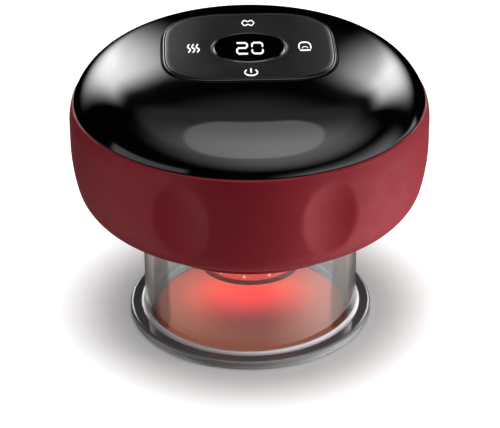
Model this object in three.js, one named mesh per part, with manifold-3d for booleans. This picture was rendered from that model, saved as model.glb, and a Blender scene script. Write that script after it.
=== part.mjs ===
// An electric cupping massager: a clear cup, a round housing with a vacuum pump inside, a warm lamp head that
// hangs in the cup, and a touch panel with a round display on top.
// Millimetres, +Z up. The cup's rim stands on Z = 0, the cup's axis is the Z axis and the front faces -Y.

import * as THREE from "three";
import { mergeVertices } from "three/addons/utils/BufferGeometryUtils.js";
import Module from "manifold-3d";

const wasm = await Module();
wasm.setup();

// Driving dimensions

const gap = 0.3; // between two pieces that fit round or into each other
const overrun = 1; // how far a cutter passes the face that it cuts
const hair = 0.01; // points nearer than this are one point

// Facets round a turned shape, and steps along an arc of the outer form and of a small round
const facets = { large: 32, medium: 20, small: 12, wire: 8 };
const arcSteps = 3;
const roundSteps = 2;

// The closed outer form, turned about Z: a flat bottom, a corner arc, a side arc, an upright band, a shoulder
// arc and a crown arc that ends on the axis
const form = {
  overhang: 17.4, // outside the cup
  crownRadius: 143,
  shoulderRadius: 15.9,
  sideRadius: 49.3,
  cornerRadius: 9.8,
  cupReach: 4.5, // how far the cup goes up into the form
  lowerHeight: 19.7, // from the flat bottom to where the side arc meets the upright band
  crownRise: 0.5, // of the crown above the touch panel
};

const cup = {
  outerRadius: 28.6,
  wall: 2.4,
  topHeight: 36.7,
  flangeReach: 3.4,
  flangeThickness: 2.6,
  edgeRound: 0.8,
  neckFillet: 1.2,
  mouthRound: 1.2,
};
cup.innerRadius = cup.outerRadius - cup.wall;
cup.flangeRadius = cup.outerRadius + cup.flangeReach;
form.radius = cup.outerRadius + form.overhang;

const shell = {
  wall: 2.2,
  coverDepth: 14.1, // from the crown down to the split
  lipInset: 0.2, // the black cover stands this much inside the red lip
  collarWall: 2.2,
  collarDepth: 8.8, // below the top of the cup
  bossCount: 3,
  bossMargin: 0.2, // inside the edge of the base plate
  bossRadius: 3.2,
};
shell.collarInner = cup.outerRadius + gap;
shell.collarOuter = shell.collarInner + shell.collarWall;

// Four shallow finger dimples: a pair at the front and a pair at the back
const dimple = {
  angles: [-23.6, 23.6, 156.4, 203.6], // degrees round from the front
  drop: 2.4, // of its centre below the widest height
  depth: 1.3,
  tangentRadius: 13.2,
  radialRadius: 6,
  uprightRadius: 22,
};

const snap = {
  skirtWall: 1.6,
  skirtDepth: 4,
  skirtClearance: 0.4,
  beadDrop: 2,
  beadHeight: 0.8,
  beadReach: 0.6,
  grooveClearance: 0.3,
};

const panel = {
  halfWidth: 21.8,
  halfDepth: 19.9,
  frontPower: 3.4, // of the superellipse that is its outline, whose back corners are squarer
  backPower: 4.6,
  corners: 32,
  thickness: 2,
  bevel: 0.5,
  gasket: 0.3,
  floorThickness: 1.8,
  floorMargin: 2,
};

const display = {
  openingRadius: 9.35,
  chamfer: 0.4,
  sunk: 0.4,
  moduleWidth: 15.4,
  moduleDepth: 10,
};

const touch = { circle: 14.4, padRadius: 3 };

const board = {
  inset: 13, // from the outside of the form
  thickness: 1.6,
  clearance: 1.2, // above the retaining strap
  standoff: 9.9, // below the floor of the panel's recess
  postCount: 3,
  postInset: 5,
  postRadius: 2.8,
};
board.radius = form.radius - board.inset;
board.postCircle = board.radius - board.postInset;

const buzzer = { radius: 4.5, height: 3, x: -23, y: -6 };
const chip = { side: 7, height: 1.2, x: 22, y: -9 };

const screw = { headRadius: 2.4, headHeight: 1.5, shankRadius: 1, pilot: 0.2, hole: 0.4 };
const baseScrewLength = 6.4;
const boardScrewLength = 5;
const headScrewLength = 6;
const strapScrewLength = 3;

const base = {
  ceilingDrop: 4.7, // below the top of the cup
  thickness: 2,
  spigotWall: 3,
  spigotReach: 1.6, // below the ceiling
  grooveDepth: 1.1,
  grooveHeight: 1.8,
  grooveRise: 2.4, // above the end of the spigot
  flangeInset: 7.6, // from the outside of the form
  wireHole: 1.6,
};
base.spigotRadius = cup.innerRadius - gap;
base.wellRadius = base.spigotRadius - base.spigotWall;
base.flangeRadius = form.radius - base.flangeInset;
shell.bossCircle = base.flangeRadius - shell.bossRadius - shell.bossMargin;

const seal = { clearance: 0.1, sides: 6 };

// The suction port: a filter chamber in the ceiling with one nipple for the pump and one for the valve
const port = {
  wellClearance: 0.4, // from its cap to the spigot
  chamberRadius: 4.2,
  chamberWall: 1,
  chamberHeight: 3.8,
  roof: 1.2,
  nippleSpacing: 4.6,
  nippleRadius: 1.1,
  nippleBore: 0.6,
  nippleHeight: 5,
  filterHeight: 2.4,
  capThickness: 0.8,
  capRim: 0.7,
  capHoleRadius: 0.5,
  capHoleCircle: 2.4,
  capHoles: 6,
};
port.y = port.chamberRadius + port.capRim + port.wellClearance - base.wellRadius;

const head = {
  height: 17.2, // below the ceiling
  ringReach: 0.9, // outside the drum
  ringHeight: 1,
  ringWidth: 3.9,
  lipWidth: 0.8,
  lipHeight: 0.4,
  drumRadius: 12.6,
  drumWall: 1.5,
  drumTop: 2,
  lampHeight: 4.8,
  lampWall: 1,
  heaterMargin: 0.6, // inside the heat plate
  heaterThickness: 0.4,
  magnetMargin: 2.5, // inside the heater film
  magnetHeight: 3,
  stemRadius: 3.4,
  screwBossRadius: 2.2,
  screwBossMargin: 0.9, // inside the wall of the drum
  screwBossHeight: 5,
};
head.ringRadius = head.drumRadius + head.ringReach;
head.ringBore = head.ringRadius - head.ringWidth;
head.plateSeat = head.ringBore + head.lipWidth;
head.heaterRadius = head.plateSeat - gap - head.heaterMargin;
head.magnetRadius = head.heaterRadius - head.magnetMargin;
head.screwX = head.drumRadius - head.drumWall - head.screwBossMargin - head.screwBossRadius;
head.wireY = head.stemRadius + base.wireHole;

const lamp = {
  boardThickness: 1,
  boardWidth: 2.9,
  count: 12,
  margin: 0.1, // from a lamp to the board's edge
  radius: 0.9,
  height: 1.8,
  turn: 8, // degrees from the front to the first lamp
};
lamp.boardOuter = head.drumRadius - head.lampWall - gap;
lamp.boardInner = lamp.boardOuter - lamp.boardWidth;
lamp.circle = lamp.boardOuter - lamp.margin - lamp.radius;

const chassis = {
  thickness: 2,
  saddleHeight: 5.5,
  saddleThickness: 3,
  saddleMargin: 2,
  batterySaddleX: [-8, 19],
  pumpSaddleX: -8,
  chargePostWidth: 12,
  chargePostDepth: 8,
  chargePostMargin: 1.3, // behind the battery
};

const battery = {
  radius: 9.1,
  length: 50,
  floorClearance: 0.7,
  strapClearance: 0.9, // between the strap's arches
  capRadius: 4,
  capHeight: 1,
};

// The pump lies along X, with its motor on the left and its head on the right
const pump = {
  floorClearance: 0.8,
  hoseClearance: 0.6, // behind the hoses over the suction port
  motorLength: 24,
  motorLeft: -25,
  canWall: 0.8,
  endCapThickness: 2,
  shaftRadius: 1,
  bearingClearance: 0.3,
  airGap: 1.6, // between the can and the armature
  armatureLength: 15,
  commutatorRadius: 2.6,
  commutatorLength: 2,
  side: 18,
  crankcaseLength: 11,
  crankcaseWall: 2,
  sideWall: 1.4,
  wheelClearance: 2.2,
  wheelLength: 3.4,
  pinOffset: 2.6,
  pinRadius: 0.8,
  pinLength: 3,
  wobbleClearance: 0.8,
  wobbleLength: 3,
  wobbleRecessRadius: 4.2,
  wobbleRecessDepth: 2,
  diaphragmThickness: 1.6,
  headLength: 6,
  chambers: 3,
  chamberRadius: 2.6,
  chamberDepth: 2,
  nippleLength: 4.6,
};
pump.motorRadius = pump.side / 2;
pump.armatureRadius = pump.motorRadius - pump.canWall - pump.airGap;
pump.cavityRadius = pump.side / 2 - pump.sideWall;
pump.wheelRadius = pump.cavityRadius - pump.wheelClearance;
pump.wobbleRadius = pump.cavityRadius - pump.wobbleClearance;
pump.chamberCircle = pump.cavityRadius - pump.chamberRadius;
pump.nippleOffset = pump.side / 4;

const strap = { x: -18, width: 7, thickness: 1.2, footLength: 6 };

const valve = {
  x: -8.8,
  hoseClearance: 1.7, // in front of the hoses over the suction port
  side: 11,
  height: 12,
  boreRadius: 2.5,
  boreDepth: 9.5,
  plungerClearance: 0.3,
  plungerTop: 1.4, // how far it stands above the body
  springLength: 3.2,
  springInner: 1.2,
  capRadius: 5,
  capHeight: 4.4,
  chamberRadius: 3,
  chamberHeight: 1.8,
  nippleHeight: 2.2, // of the side nipple's axis above the body
  nippleLength: 4.4,
};

const socket = {
  drop: 1.7, // of its axis below the widest height
  width: 8.9,
  thickness: 3.2,
  length: 7.4,
  wall: 0.4,
  sunk: 0.8, // below the outer surface of the shell
  boardWidth: 16,
  boardDepth: 13,
  boardThickness: 1.2,
  openingClearance: 0.3,
  mouthDepth: 5,
};

const hose = {
  wall: 0.7,
  clearance: 0.2,
  overlap: 4,
  lead: 1.5, // straight stretch above a nipple of the port
  bend: 4,
  loopReach: 7.9, // past the pump's nipple
  loopDepth: 7.4, // in front of the suction port
  loopDrop: 4, // below the pump's axis
  steps: 20,
};
hose.bore = port.nippleRadius + hose.clearance;
hose.radius = hose.bore + hose.wall;

const wire = { radius: 0.8, end: 0.3, loop: 2.6, brushOffset: 4, steps: 12 };

// Places from front to back, behind and in front of the suction port
pump.y = port.y + hose.radius + pump.hoseClearance + pump.side / 2;
battery.pumpClearance = 2 * (gap + strap.thickness) + battery.strapClearance;
battery.y = pump.y + pump.motorRadius + battery.pumpClearance + battery.radius;
valve.y = port.y - hose.radius - valve.hoseClearance - valve.side / 2;

// Heights above the table, each from what stands below it
form.bottomHeight = cup.topHeight - form.cupReach;
form.widestHeight = form.bottomHeight + form.lowerHeight;
dimple.height = form.widestHeight - dimple.drop;
socket.height = form.widestHeight - socket.drop; // of its axis
shell.collarBottom = cup.topHeight - shell.collarDepth;
shell.seatHeight = cup.topHeight + gap; // underside of the base plate's flange
base.ceilingHeight = cup.topHeight - base.ceilingDrop;
base.ceilingTop = base.ceilingHeight + base.thickness;
base.spigotBottom = base.ceilingHeight - base.spigotReach;
base.grooveBottom = base.spigotBottom + base.grooveRise;
base.flangeTop = shell.seatHeight + base.thickness;
head.bottomHeight = base.ceilingHeight - head.height;
head.ringTop = head.bottomHeight + head.ringHeight;
head.lampTop = head.ringTop + head.lampHeight;
chassis.bottomHeight = base.flangeTop;
chassis.topHeight = chassis.bottomHeight + chassis.thickness;
battery.height = chassis.topHeight + battery.floorClearance + battery.radius;
pump.height = chassis.topHeight + pump.floorClearance + pump.side / 2;
strap.topHeight = Math.max(battery.height + battery.radius, pump.height + pump.motorRadius);
strap.topHeight += gap + strap.thickness;
board.bottomHeight = strap.topHeight + board.clearance;
board.topHeight = board.bottomHeight + board.thickness;
panel.floorHeight = board.topHeight + board.standoff;
panel.bottomHeight = panel.floorHeight + panel.gasket;
panel.topHeight = panel.bottomHeight + panel.thickness;
form.topHeight = panel.topHeight + form.crownRise;
shell.splitHeight = form.topHeight - shell.coverDepth;

// Colours and finishes

const finish = (color, roughness, metalness = 0, extra = {}) =>
  new THREE.MeshStandardMaterial({ color, roughness, metalness, ...extra });
const material = {
  redGrip: finish(0x6e1a20, 0.55),
  glossBlack: finish(0x060606, 0.06),
  panelBlack: finish(0x1c1c1d, 0.3),
  smokedLens: finish(0x030303, 0.08),
  clear: finish(0xd9dede, 0.05, 0, { transparent: true, opacity: 0.35 }),
  blackPlastic: finish(0x141414, 0.5),
  redLens: finish(0xc8201c, 0.2, 0, { transparent: true, opacity: 0.7 }),
  silicone: finish(0xc9c9c6, 0.7),
  steel: finish(0xb8b8b6, 0.3, 1),
  copper: finish(0xb06a3a, 0.4, 1),
  board: finish(0x1d5a38, 0.5),
  whitePlastic: finish(0xe6e4dc, 0.5),
  film: finish(0xb9741f, 0.45),
  foam: finish(0x2b2b2d, 0.95),
  cell: finish(0x2c5f8f, 0.4),
  redWire: finish(0xb01818, 0.5),
};

// Solids and meshes

function solidOf(geometry) {
  const bare = geometry.index ? geometry.toNonIndexed() : geometry.clone();
  bare.deleteAttribute("normal");
  bare.deleteAttribute("uv");
  const merged = mergeVertices(bare, 1e-4);
  return new wasm.Manifold(
    new wasm.Mesh({
      numProp: 3,
      vertProperties: new Float32Array(merged.attributes.position.array),
      triVerts: new Uint32Array(merged.index.array),
    }),
  );
}

function geometryOf(solid) {
  const { numProp, vertProperties, triVerts } = solid.getMesh();
  const position = new Float32Array((vertProperties.length / numProp) * 3);
  for (let i = 0; i < position.length / 3; i++)
    position.set(vertProperties.subarray(i * numProp, i * numProp + 3), i * 3);
  const geometry = new THREE.BufferGeometry();
  geometry.setAttribute("position", new THREE.BufferAttribute(position, 3));
  geometry.setIndex(new THREE.BufferAttribute(new Uint32Array(triVerts), 1));
  geometry.computeVertexNormals();
  return geometry;
}

const fuse = (...solids) => solids.reduce((a, b) => a.add(b));
const cut = (solid, ...tools) => tools.reduce((a, b) => a.subtract(b), solid);

function piece(name, solid, look, parent) {
  const mesh = new THREE.Mesh(geometryOf(solid), look);
  mesh.name = name;
  parent.add(mesh);
  return mesh;
}

function groupAt(parent, x, y, z) {
  const group = new THREE.Group();
  group.position.set(x, y, z);
  parent.add(group);
  return group;
}

// A profile of [radius, height] points turned about Z. It runs anticlockwise with the radius to the right.
function turned(points, sides = facets.large) {
  const profile = points.map((point) => new THREE.Vector2(...point));
  const closed = profile[0].x > 0 || profile.at(-1).x > 0;
  if (closed) profile.push(profile[0].clone());
  return solidOf(new THREE.LatheGeometry(profile, sides).rotateX(Math.PI / 2));
}

const rod = (radius, low, high, sides = facets.small) =>
  turned([[0, low], [radius, low], [radius, high], [0, high]], sides);

const tubeRing = (inner, outer, low, high, sides = facets.small) =>
  turned([[inner, low], [outer, low], [outer, high], [inner, high]], sides);

const moved = (solid, x, y, z = 0) =>
  solidOf(geometryOf(solid).translate(x, y, z));

const alongX = (solid) => solidOf(geometryOf(solid).rotateY(Math.PI / 2));

function block(width, depth, low, high, x = 0, y = 0) {
  const geometry = new THREE.BoxGeometry(width, depth, high - low);
  return solidOf(geometry.translate(x, y, (low + high) / 2));
}

// Points of an arc about [x, y], from one angle to another in degrees
function arc(x, y, radius, from, to, steps = roundSteps) {
  return Array.from({ length: steps + 1 }, (_, i) => {
    const angle = THREE.MathUtils.degToRad(from + ((to - from) * i) / steps);
    return [x + radius * Math.cos(angle), y + radius * Math.sin(angle)];
  });
}

// [x, y] of a place on a circle about Z, by degrees round from +X
function onCircle(radius, degrees) {
  const angle = THREE.MathUtils.degToRad(degrees);
  return [radius * Math.cos(angle), radius * Math.sin(angle)];
}

// Evenly spaced places on a circle, with one of them at the front
const places = (count, radius) =>
  Array.from({ length: count }, (_, i) => onCircle(radius, -90 + (360 * i) / count));

function smoothCurve(points) {
  return new THREE.CatmullRomCurve3(points.map((p) => new THREE.Vector3(...p)));
}

function sweep(curve, radius, bore, steps) {
  const section = new THREE.Shape();
  section.absarc(0, 0, radius, 0, 2 * Math.PI);
  if (bore) section.holes.push(new THREE.Path().absarc(0, 0, bore, 0, 2 * Math.PI, true));
  return solidOf(
    new THREE.ExtrudeGeometry(section, {
      extrudePath: curve,
      steps,
      curveSegments: facets.wire / 2,
    }),
  );
}

// The outer form

const directionOf = ([x, y], [toX, toY]) => THREE.MathUtils.radToDeg(Math.atan2(toY - y, toX - x));

// The centres of the form's arcs as [radius, height], and the directions in which neighbouring arcs meet
const shape = {};
shape.crown = [0, form.topHeight - form.crownRadius];
shape.shoulder = [form.radius - form.shoulderRadius];
shape.shoulder.push(
  shape.crown[1] + Math.sqrt((form.crownRadius - form.shoulderRadius) ** 2 - shape.shoulder[0] ** 2),
);
shape.side = [form.radius - form.sideRadius, form.widestHeight];
shape.cornerDrop = form.widestHeight - form.bottomHeight - form.cornerRadius;
shape.corner = [
  shape.side[0] + Math.sqrt((form.sideRadius - form.cornerRadius) ** 2 - shape.cornerDrop ** 2),
  form.bottomHeight + form.cornerRadius,
];
shape.crownTurn = directionOf(shape.crown, shape.shoulder);
shape.cornerTurn = directionOf(shape.side, shape.corner);

// The form drawn inwards by inset, from the edge of its flat bottom up to the axis
function formCurve(inset) {
  const { crown, shoulder, side, corner, crownTurn, cornerTurn } = shape;
  const points = [
    ...arc(...corner, form.cornerRadius - inset, -90, cornerTurn, arcSteps),
    ...arc(...side, form.sideRadius - inset, cornerTurn, 0, arcSteps).slice(1),
    ...arc(...shoulder, form.shoulderRadius - inset, 0, crownTurn, arcSteps),
    ...arc(...crown, form.crownRadius - inset, crownTurn, 90, arcSteps).slice(1),
  ];
  points.at(-1)[0] = 0;
  return points;
}

function formRadiusAt(height, inset = 0) {
  const { crown, shoulder, side, corner } = shape;
  const onArc = ([x, y], radius) => x + Math.sqrt((radius - inset) ** 2 - (height - y) ** 2);
  const points = formCurve(inset);
  if (height < points[arcSteps][1]) return onArc(corner, form.cornerRadius);
  if (height < side[1]) return onArc(side, form.sideRadius);
  if (height < shoulder[1]) return form.radius - inset;
  if (height < points.at(-1 - arcSteps)[1]) return onArc(shoulder, form.shoulderRadius);
  return onArc(crown, form.crownRadius);
}

// Shared fasteners

// A pan-head screw that points down, with its head standing on Z = 0
function screwSolid(length) {
  return turned(
    [
      [0, -length],
      [screw.shankRadius, -length],
      [screw.shankRadius, 0],
      [screw.headRadius, 0],
      [screw.headRadius, screw.headHeight / 2],
      [screw.headRadius - screw.headHeight / 2, screw.headHeight],
      [0, screw.headHeight],
    ],
    facets.small,
  );
}

const screwHole = (low, high) => rod(screw.shankRadius + screw.hole, low, high);
const pilotHole = (low, high) => rod(screw.shankRadius + screw.pilot, low, high);

const massager = new THREE.Group();

// The cup

function makeCup(parent) {
  const { outerRadius, innerRadius, flangeRadius, flangeThickness } = cup;
  const { edgeRound, neckFillet, mouthRound } = cup;
  const profile = [
    [innerRadius, cup.topHeight],
    ...arc(innerRadius + mouthRound, mouthRound, mouthRound, 180, 270),
    ...arc(flangeRadius - edgeRound, edgeRound, edgeRound, -90, 0),
    ...arc(flangeRadius - edgeRound, flangeThickness - edgeRound, edgeRound, 0, 90),
    ...arc(outerRadius + neckFillet, flangeThickness + neckFillet, neckFillet, 270, 180),
    [outerRadius, cup.topHeight],
  ];
  piece("cup", turned(profile), material.clear, parent);
}

// The red shell, with its collar round the cup, its screw bosses, dimples and charging opening

function makeGripShell(parent) {
  const { wall, splitHeight, collarInner, collarOuter } = shell;
  const floorHeight = form.bottomHeight + wall;
  const profile = [
    [collarInner, shell.collarBottom],
    [collarOuter, shell.collarBottom],
    [collarOuter, form.bottomHeight],
    ...formCurve(0).filter(([, height]) => height < splitHeight - hair),
    [formRadiusAt(splitHeight), splitHeight],
    [formRadiusAt(splitHeight, wall), splitHeight],
    ...formCurve(wall).filter(([, height]) => height < splitHeight - hair).toReversed(),
    [collarOuter, floorHeight],
    [collarOuter, cup.topHeight],
    [collarInner, cup.topHeight],
  ];
  let solid = turned(profile);

  const pilotBottom = chassis.topHeight - baseScrewLength - gap;
  for (const [x, y] of places(shell.bossCount, shell.bossCircle)) {
    solid = fuse(solid, moved(rod(shell.bossRadius, floorHeight - wall / 2, shell.seatHeight), x, y));
    solid = cut(solid, moved(pilotHole(pilotBottom, shell.seatHeight + overrun), x, y));
  }

  const dimpleCentre = formRadiusAt(dimple.height) + dimple.radialRadius - dimple.depth;
  for (const angle of dimple.angles) {
    const ball = new THREE.SphereGeometry(1, facets.medium, facets.small);
    ball.scale(dimple.tangentRadius, dimple.radialRadius, dimple.uprightRadius);
    ball.translate(0, -dimpleCentre, dimple.height);
    solid = cut(solid, solidOf(ball.rotateZ(THREE.MathUtils.degToRad(angle))));
  }

  const grooveHigh = shell.splitHeight - snap.beadDrop + snap.grooveClearance;
  const grooveLow = grooveHigh - snap.beadHeight - 2 * snap.grooveClearance;
  const grooveOuter = snapSkirtRadius() + snap.beadReach + snap.grooveClearance;
  const insideRadius = form.radius - shell.wall - snap.skirtWall - overrun;
  solid = cut(solid, tubeRing(insideRadius, grooveOuter, grooveLow, grooveHigh, facets.large));

  const opening = socketOutline(socket.openingClearance);
  const tunnel = new THREE.ExtrudeGeometry(opening, {
    depth: form.radius - insideRadius + overrun,
    curveSegments: facets.wire / 2,
    bevelEnabled: false,
  });
  tunnel.rotateX(-Math.PI / 2).translate(0, insideRadius, socket.height);
  solid = cut(solid, solidOf(tunnel));
  piece("grip_shell", solid, material.redGrip, parent);
}

function snapSkirtRadius() {
  return formRadiusAt(shell.splitHeight, shell.wall) - snap.skirtClearance;
}

// The glossy cover over the red shell, with a recess for the touch panel and posts for the main board

function squircle(margin) {
  const halfWidth = panel.halfWidth + margin;
  const halfDepth = panel.halfDepth + margin;
  const points = Array.from({ length: panel.corners }, (_, i) => {
    const angle = (2 * Math.PI * i) / panel.corners;
    const c = Math.cos(angle);
    const s = Math.sin(angle);
    const backShare = (1 + s) / 2;
    const power = panel.frontPower + (panel.backPower - panel.frontPower) * backShare;
    return new THREE.Vector2(
      halfWidth * Math.sign(c) * Math.abs(c) ** (2 / power),
      halfDepth * Math.sign(s) * Math.abs(s) ** (2 / power),
    );
  });
  return new THREE.Shape(points);
}

function prism(shape, low, high) {
  const geometry = new THREE.ExtrudeGeometry(shape, { depth: high - low, bevelEnabled: false });
  return solidOf(geometry.translate(0, 0, low));
}

const touchPlaces = {
  suction: onCircle(touch.circle, 0),
  mode: onCircle(touch.circle, 90),
  heat: onCircle(touch.circle, 180),
  power: onCircle(touch.circle, 270),
};

const padHoles = (low, high) =>
  Object.values(touchPlaces).map(([x, y]) => moved(rod(touch.padRadius + gap, low, high), x, y));

const displayHole = (low, high) =>
  block(display.moduleWidth + 2 * gap, display.moduleDepth + 2 * gap, low, high);

function makeTopCover(parent) {
  const { splitHeight, wall, lipInset } = shell;
  const skirt = snapSkirtRadius();
  const skirtInner = skirt - snap.skirtWall;
  const skirtBottom = splitHeight - snap.skirtDepth;
  const beadTop = splitHeight - snap.beadDrop;
  const outside = turned([
    [0, skirtBottom],
    [skirt, skirtBottom],
    [skirt, beadTop - snap.beadHeight],
    [skirt + snap.beadReach, beadTop - snap.beadHeight / 2],
    [skirt, beadTop],
    [skirt, splitHeight],
    [formRadiusAt(splitHeight, lipInset), splitHeight],
    ...formCurve(lipInset).filter(([, height]) => height > splitHeight + hair),
  ]);
  const innerInset = wall + lipInset;
  const hollow = turned([
    [0, skirtBottom - overrun],
    [skirtInner, skirtBottom - overrun],
    [skirtInner, splitHeight],
    ...formCurve(innerInset).filter(([radius, height]) => height > splitHeight && radius < skirtInner),
  ]);
  const { floorHeight } = panel;
  const floorLow = floorHeight - panel.floorThickness;
  const floor = prism(squircle(panel.floorMargin), floorLow, floorHeight).intersect(outside);
  let solid = fuse(cut(outside, hollow), floor);
  solid = cut(
    solid,
    prism(squircle(gap), floorHeight, form.topHeight + overrun),
    displayHole(floorLow - overrun, floorHeight + overrun),
    ...padHoles(floorLow - overrun, floorHeight + overrun),
  );
  const pilotTop = board.bottomHeight + boardScrewLength + gap;
  for (const [x, y] of places(board.postCount, board.postCircle)) {
    solid = fuse(solid, moved(rod(board.postRadius, board.topHeight, floorLow), x, y));
    solid = cut(solid, moved(pilotHole(board.topHeight - overrun, pilotTop), x, y));
  }
  piece("top_cover", solid, material.glossBlack, parent);
}

// The touch panel, its gasket and the round window of the display

function makePanel(parent) {
  const thickness = panel.thickness - 2 * panel.bevel;
  const plate = new THREE.ExtrudeGeometry(squircle(0), {
    depth: thickness,
    bevelThickness: panel.bevel,
    bevelSize: panel.bevel,
    bevelOffset: -panel.bevel,
    bevelSegments: 1,
  });
  plate.translate(0, 0, panel.bottomHeight + panel.bevel);
  const openingRadius = display.openingRadius;
  const opening = turned(
    [
      [0, panel.bottomHeight - overrun],
      [openingRadius, panel.bottomHeight - overrun],
      [openingRadius, panel.topHeight - display.chamfer],
      [openingRadius + display.chamfer + overrun, panel.topHeight + overrun],
      [0, panel.topHeight + overrun],
    ],
    facets.large,
  );
  piece("touch_panel", cut(solidOf(plate), opening), material.panelBlack, parent);

  const sheet = cut(
    prism(squircle(-panel.bevel), panel.floorHeight, panel.bottomHeight),
    displayHole(panel.floorHeight - overrun, panel.bottomHeight + overrun),
    ...padHoles(panel.floorHeight - overrun, panel.bottomHeight + overrun),
  );
  piece("panel_gasket", sheet, material.foam, parent);

  const windowRadius = openingRadius - gap;
  const windowTop = panel.topHeight - display.sunk;
  const lens = turned(
    [
      [0, panel.bottomHeight],
      [windowRadius, panel.bottomHeight],
      [windowRadius, windowTop - display.chamfer],
      [windowRadius - display.chamfer, windowTop],
      [0, windowTop],
    ],
    facets.large,
  );
  piece("display_window", lens, material.smokedLens, parent);
}

// The main board under the cover, with what stands on it

function makeBoard(parent) {
  let plate = rod(board.radius, board.bottomHeight, board.topHeight, facets.medium);
  const screws = places(board.postCount, board.postCircle);
  for (const [x, y] of screws)
    plate = cut(plate, moved(screwHole(board.bottomHeight - overrun, board.topHeight + overrun), x, y));
  piece("main_board", plate, material.board, parent);
  screws.forEach(([x, y], i) => {
    const mesh = piece(`board_screw_${i + 1}`, screwSolid(boardScrewLength), material.steel, parent);
    mesh.position.set(x, y, board.bottomHeight);
    mesh.rotation.x = Math.PI;
  });
  const moduleTop = panel.floorHeight;
  const module = block(display.moduleWidth, display.moduleDepth, board.topHeight, moduleTop);
  piece("display_module", module, material.whitePlastic, parent);
  for (const [name, [x, y]] of Object.entries(touchPlaces)) {
    const pad = moved(rod(touch.padRadius, board.topHeight, panel.floorHeight), x, y);
    piece(`touch_pad_${name}`, pad, material.foam, parent);
  }
  const sounder = rod(buzzer.radius, board.topHeight, board.topHeight + buzzer.height);
  piece("buzzer", moved(sounder, buzzer.x, buzzer.y), material.blackPlastic, parent);
  const chipTop = board.topHeight + chip.height;
  const controller = block(chip.side, chip.side, board.topHeight, chipTop, chip.x, chip.y);
  piece("control_chip", controller, material.blackPlastic, parent);
}

// The base plate, whose underside is the ceiling of the suction chamber, and the seal on its spigot

const portPlaces = { valve: -port.nippleSpacing / 2, pump: port.nippleSpacing / 2 };

function makeBasePlate(parent) {
  const { ceilingHeight, ceilingTop, wellRadius, spigotRadius, flangeRadius, flangeTop } = base;
  const grooveTop = base.grooveBottom + base.grooveHeight;
  const profile = [
    [0, ceilingHeight],
    [wellRadius, ceilingHeight],
    [wellRadius, base.spigotBottom],
    [spigotRadius, base.spigotBottom],
    [spigotRadius, base.grooveBottom],
    [spigotRadius - base.grooveDepth, base.grooveBottom],
    [spigotRadius - base.grooveDepth, grooveTop],
    [spigotRadius, grooveTop],
    [spigotRadius, shell.seatHeight],
    [flangeRadius, shell.seatHeight],
    [flangeRadius, flangeTop],
    [wellRadius, flangeTop],
    [wellRadius, ceilingTop],
    [0, ceilingTop],
  ];
  let solid = turned(profile);
  const chamberTop = ceilingHeight + port.chamberHeight;
  const roofTop = chamberTop + port.roof;
  const chamberOuter = port.chamberRadius + port.chamberWall;
  solid = fuse(solid, moved(rod(chamberOuter, ceilingHeight, roofTop, facets.medium), 0, port.y));
  solid = cut(solid, moved(rod(port.chamberRadius, ceilingHeight - overrun, chamberTop), 0, port.y));
  const nippleTop = roofTop + port.nippleHeight;
  for (const x of Object.values(portPlaces)) {
    solid = fuse(solid, moved(rod(port.nippleRadius, chamberTop, nippleTop), x, port.y));
    const bore = rod(port.nippleBore, chamberTop - overrun, nippleTop + overrun);
    solid = cut(solid, moved(bore, x, port.y));
  }
  const wireHole = rod(base.wireHole, ceilingHeight - overrun, ceilingTop + overrun);
  solid = cut(solid, moved(wireHole, 0, head.wireY));
  for (const x of [-head.screwX, head.screwX])
    solid = cut(solid, moved(screwHole(ceilingHeight - overrun, ceilingTop + overrun), x, 0));
  for (const [x, y] of places(shell.bossCount, shell.bossCircle))
    solid = cut(solid, moved(screwHole(shell.seatHeight - overrun, flangeTop + overrun), x, y));
  piece("base_plate", solid, material.blackPlastic, parent);

  const sealRadius = (base.grooveDepth + gap) / 2 - seal.clearance;
  const sealCentre = spigotRadius - base.grooveDepth + seal.clearance + sealRadius;
  const ring = arc(sealCentre, base.grooveBottom + base.grooveHeight / 2, sealRadius, 0, 360, seal.sides);
  piece("cup_seal", turned(ring.slice(0, seal.sides)), material.silicone, parent);

  const foamLow = chamberTop - port.filterHeight - gap;
  const foam = rod(port.chamberRadius - gap, foamLow, foamLow + port.filterHeight);
  piece("air_filter", moved(foam, 0, port.y), material.foam, parent);

  const capLow = ceilingHeight - port.capThickness;
  let cap = fuse(
    rod(port.chamberRadius + port.capRim, capLow, ceilingHeight, facets.medium),
    rod(port.chamberRadius - gap, capLow, foamLow),
  );
  for (const [x, y] of places(port.capHoles, port.capHoleCircle)) {
    const hole = rod(port.capHoleRadius, capLow - overrun, foamLow + overrun, facets.wire);
    cap = cut(cap, moved(hole, x, y));
  }
  piece("filter_cap", moved(cap, 0, port.y), material.blackPlastic, parent);
}

// The lamp head, which hangs from the ceiling into the cup

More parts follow.
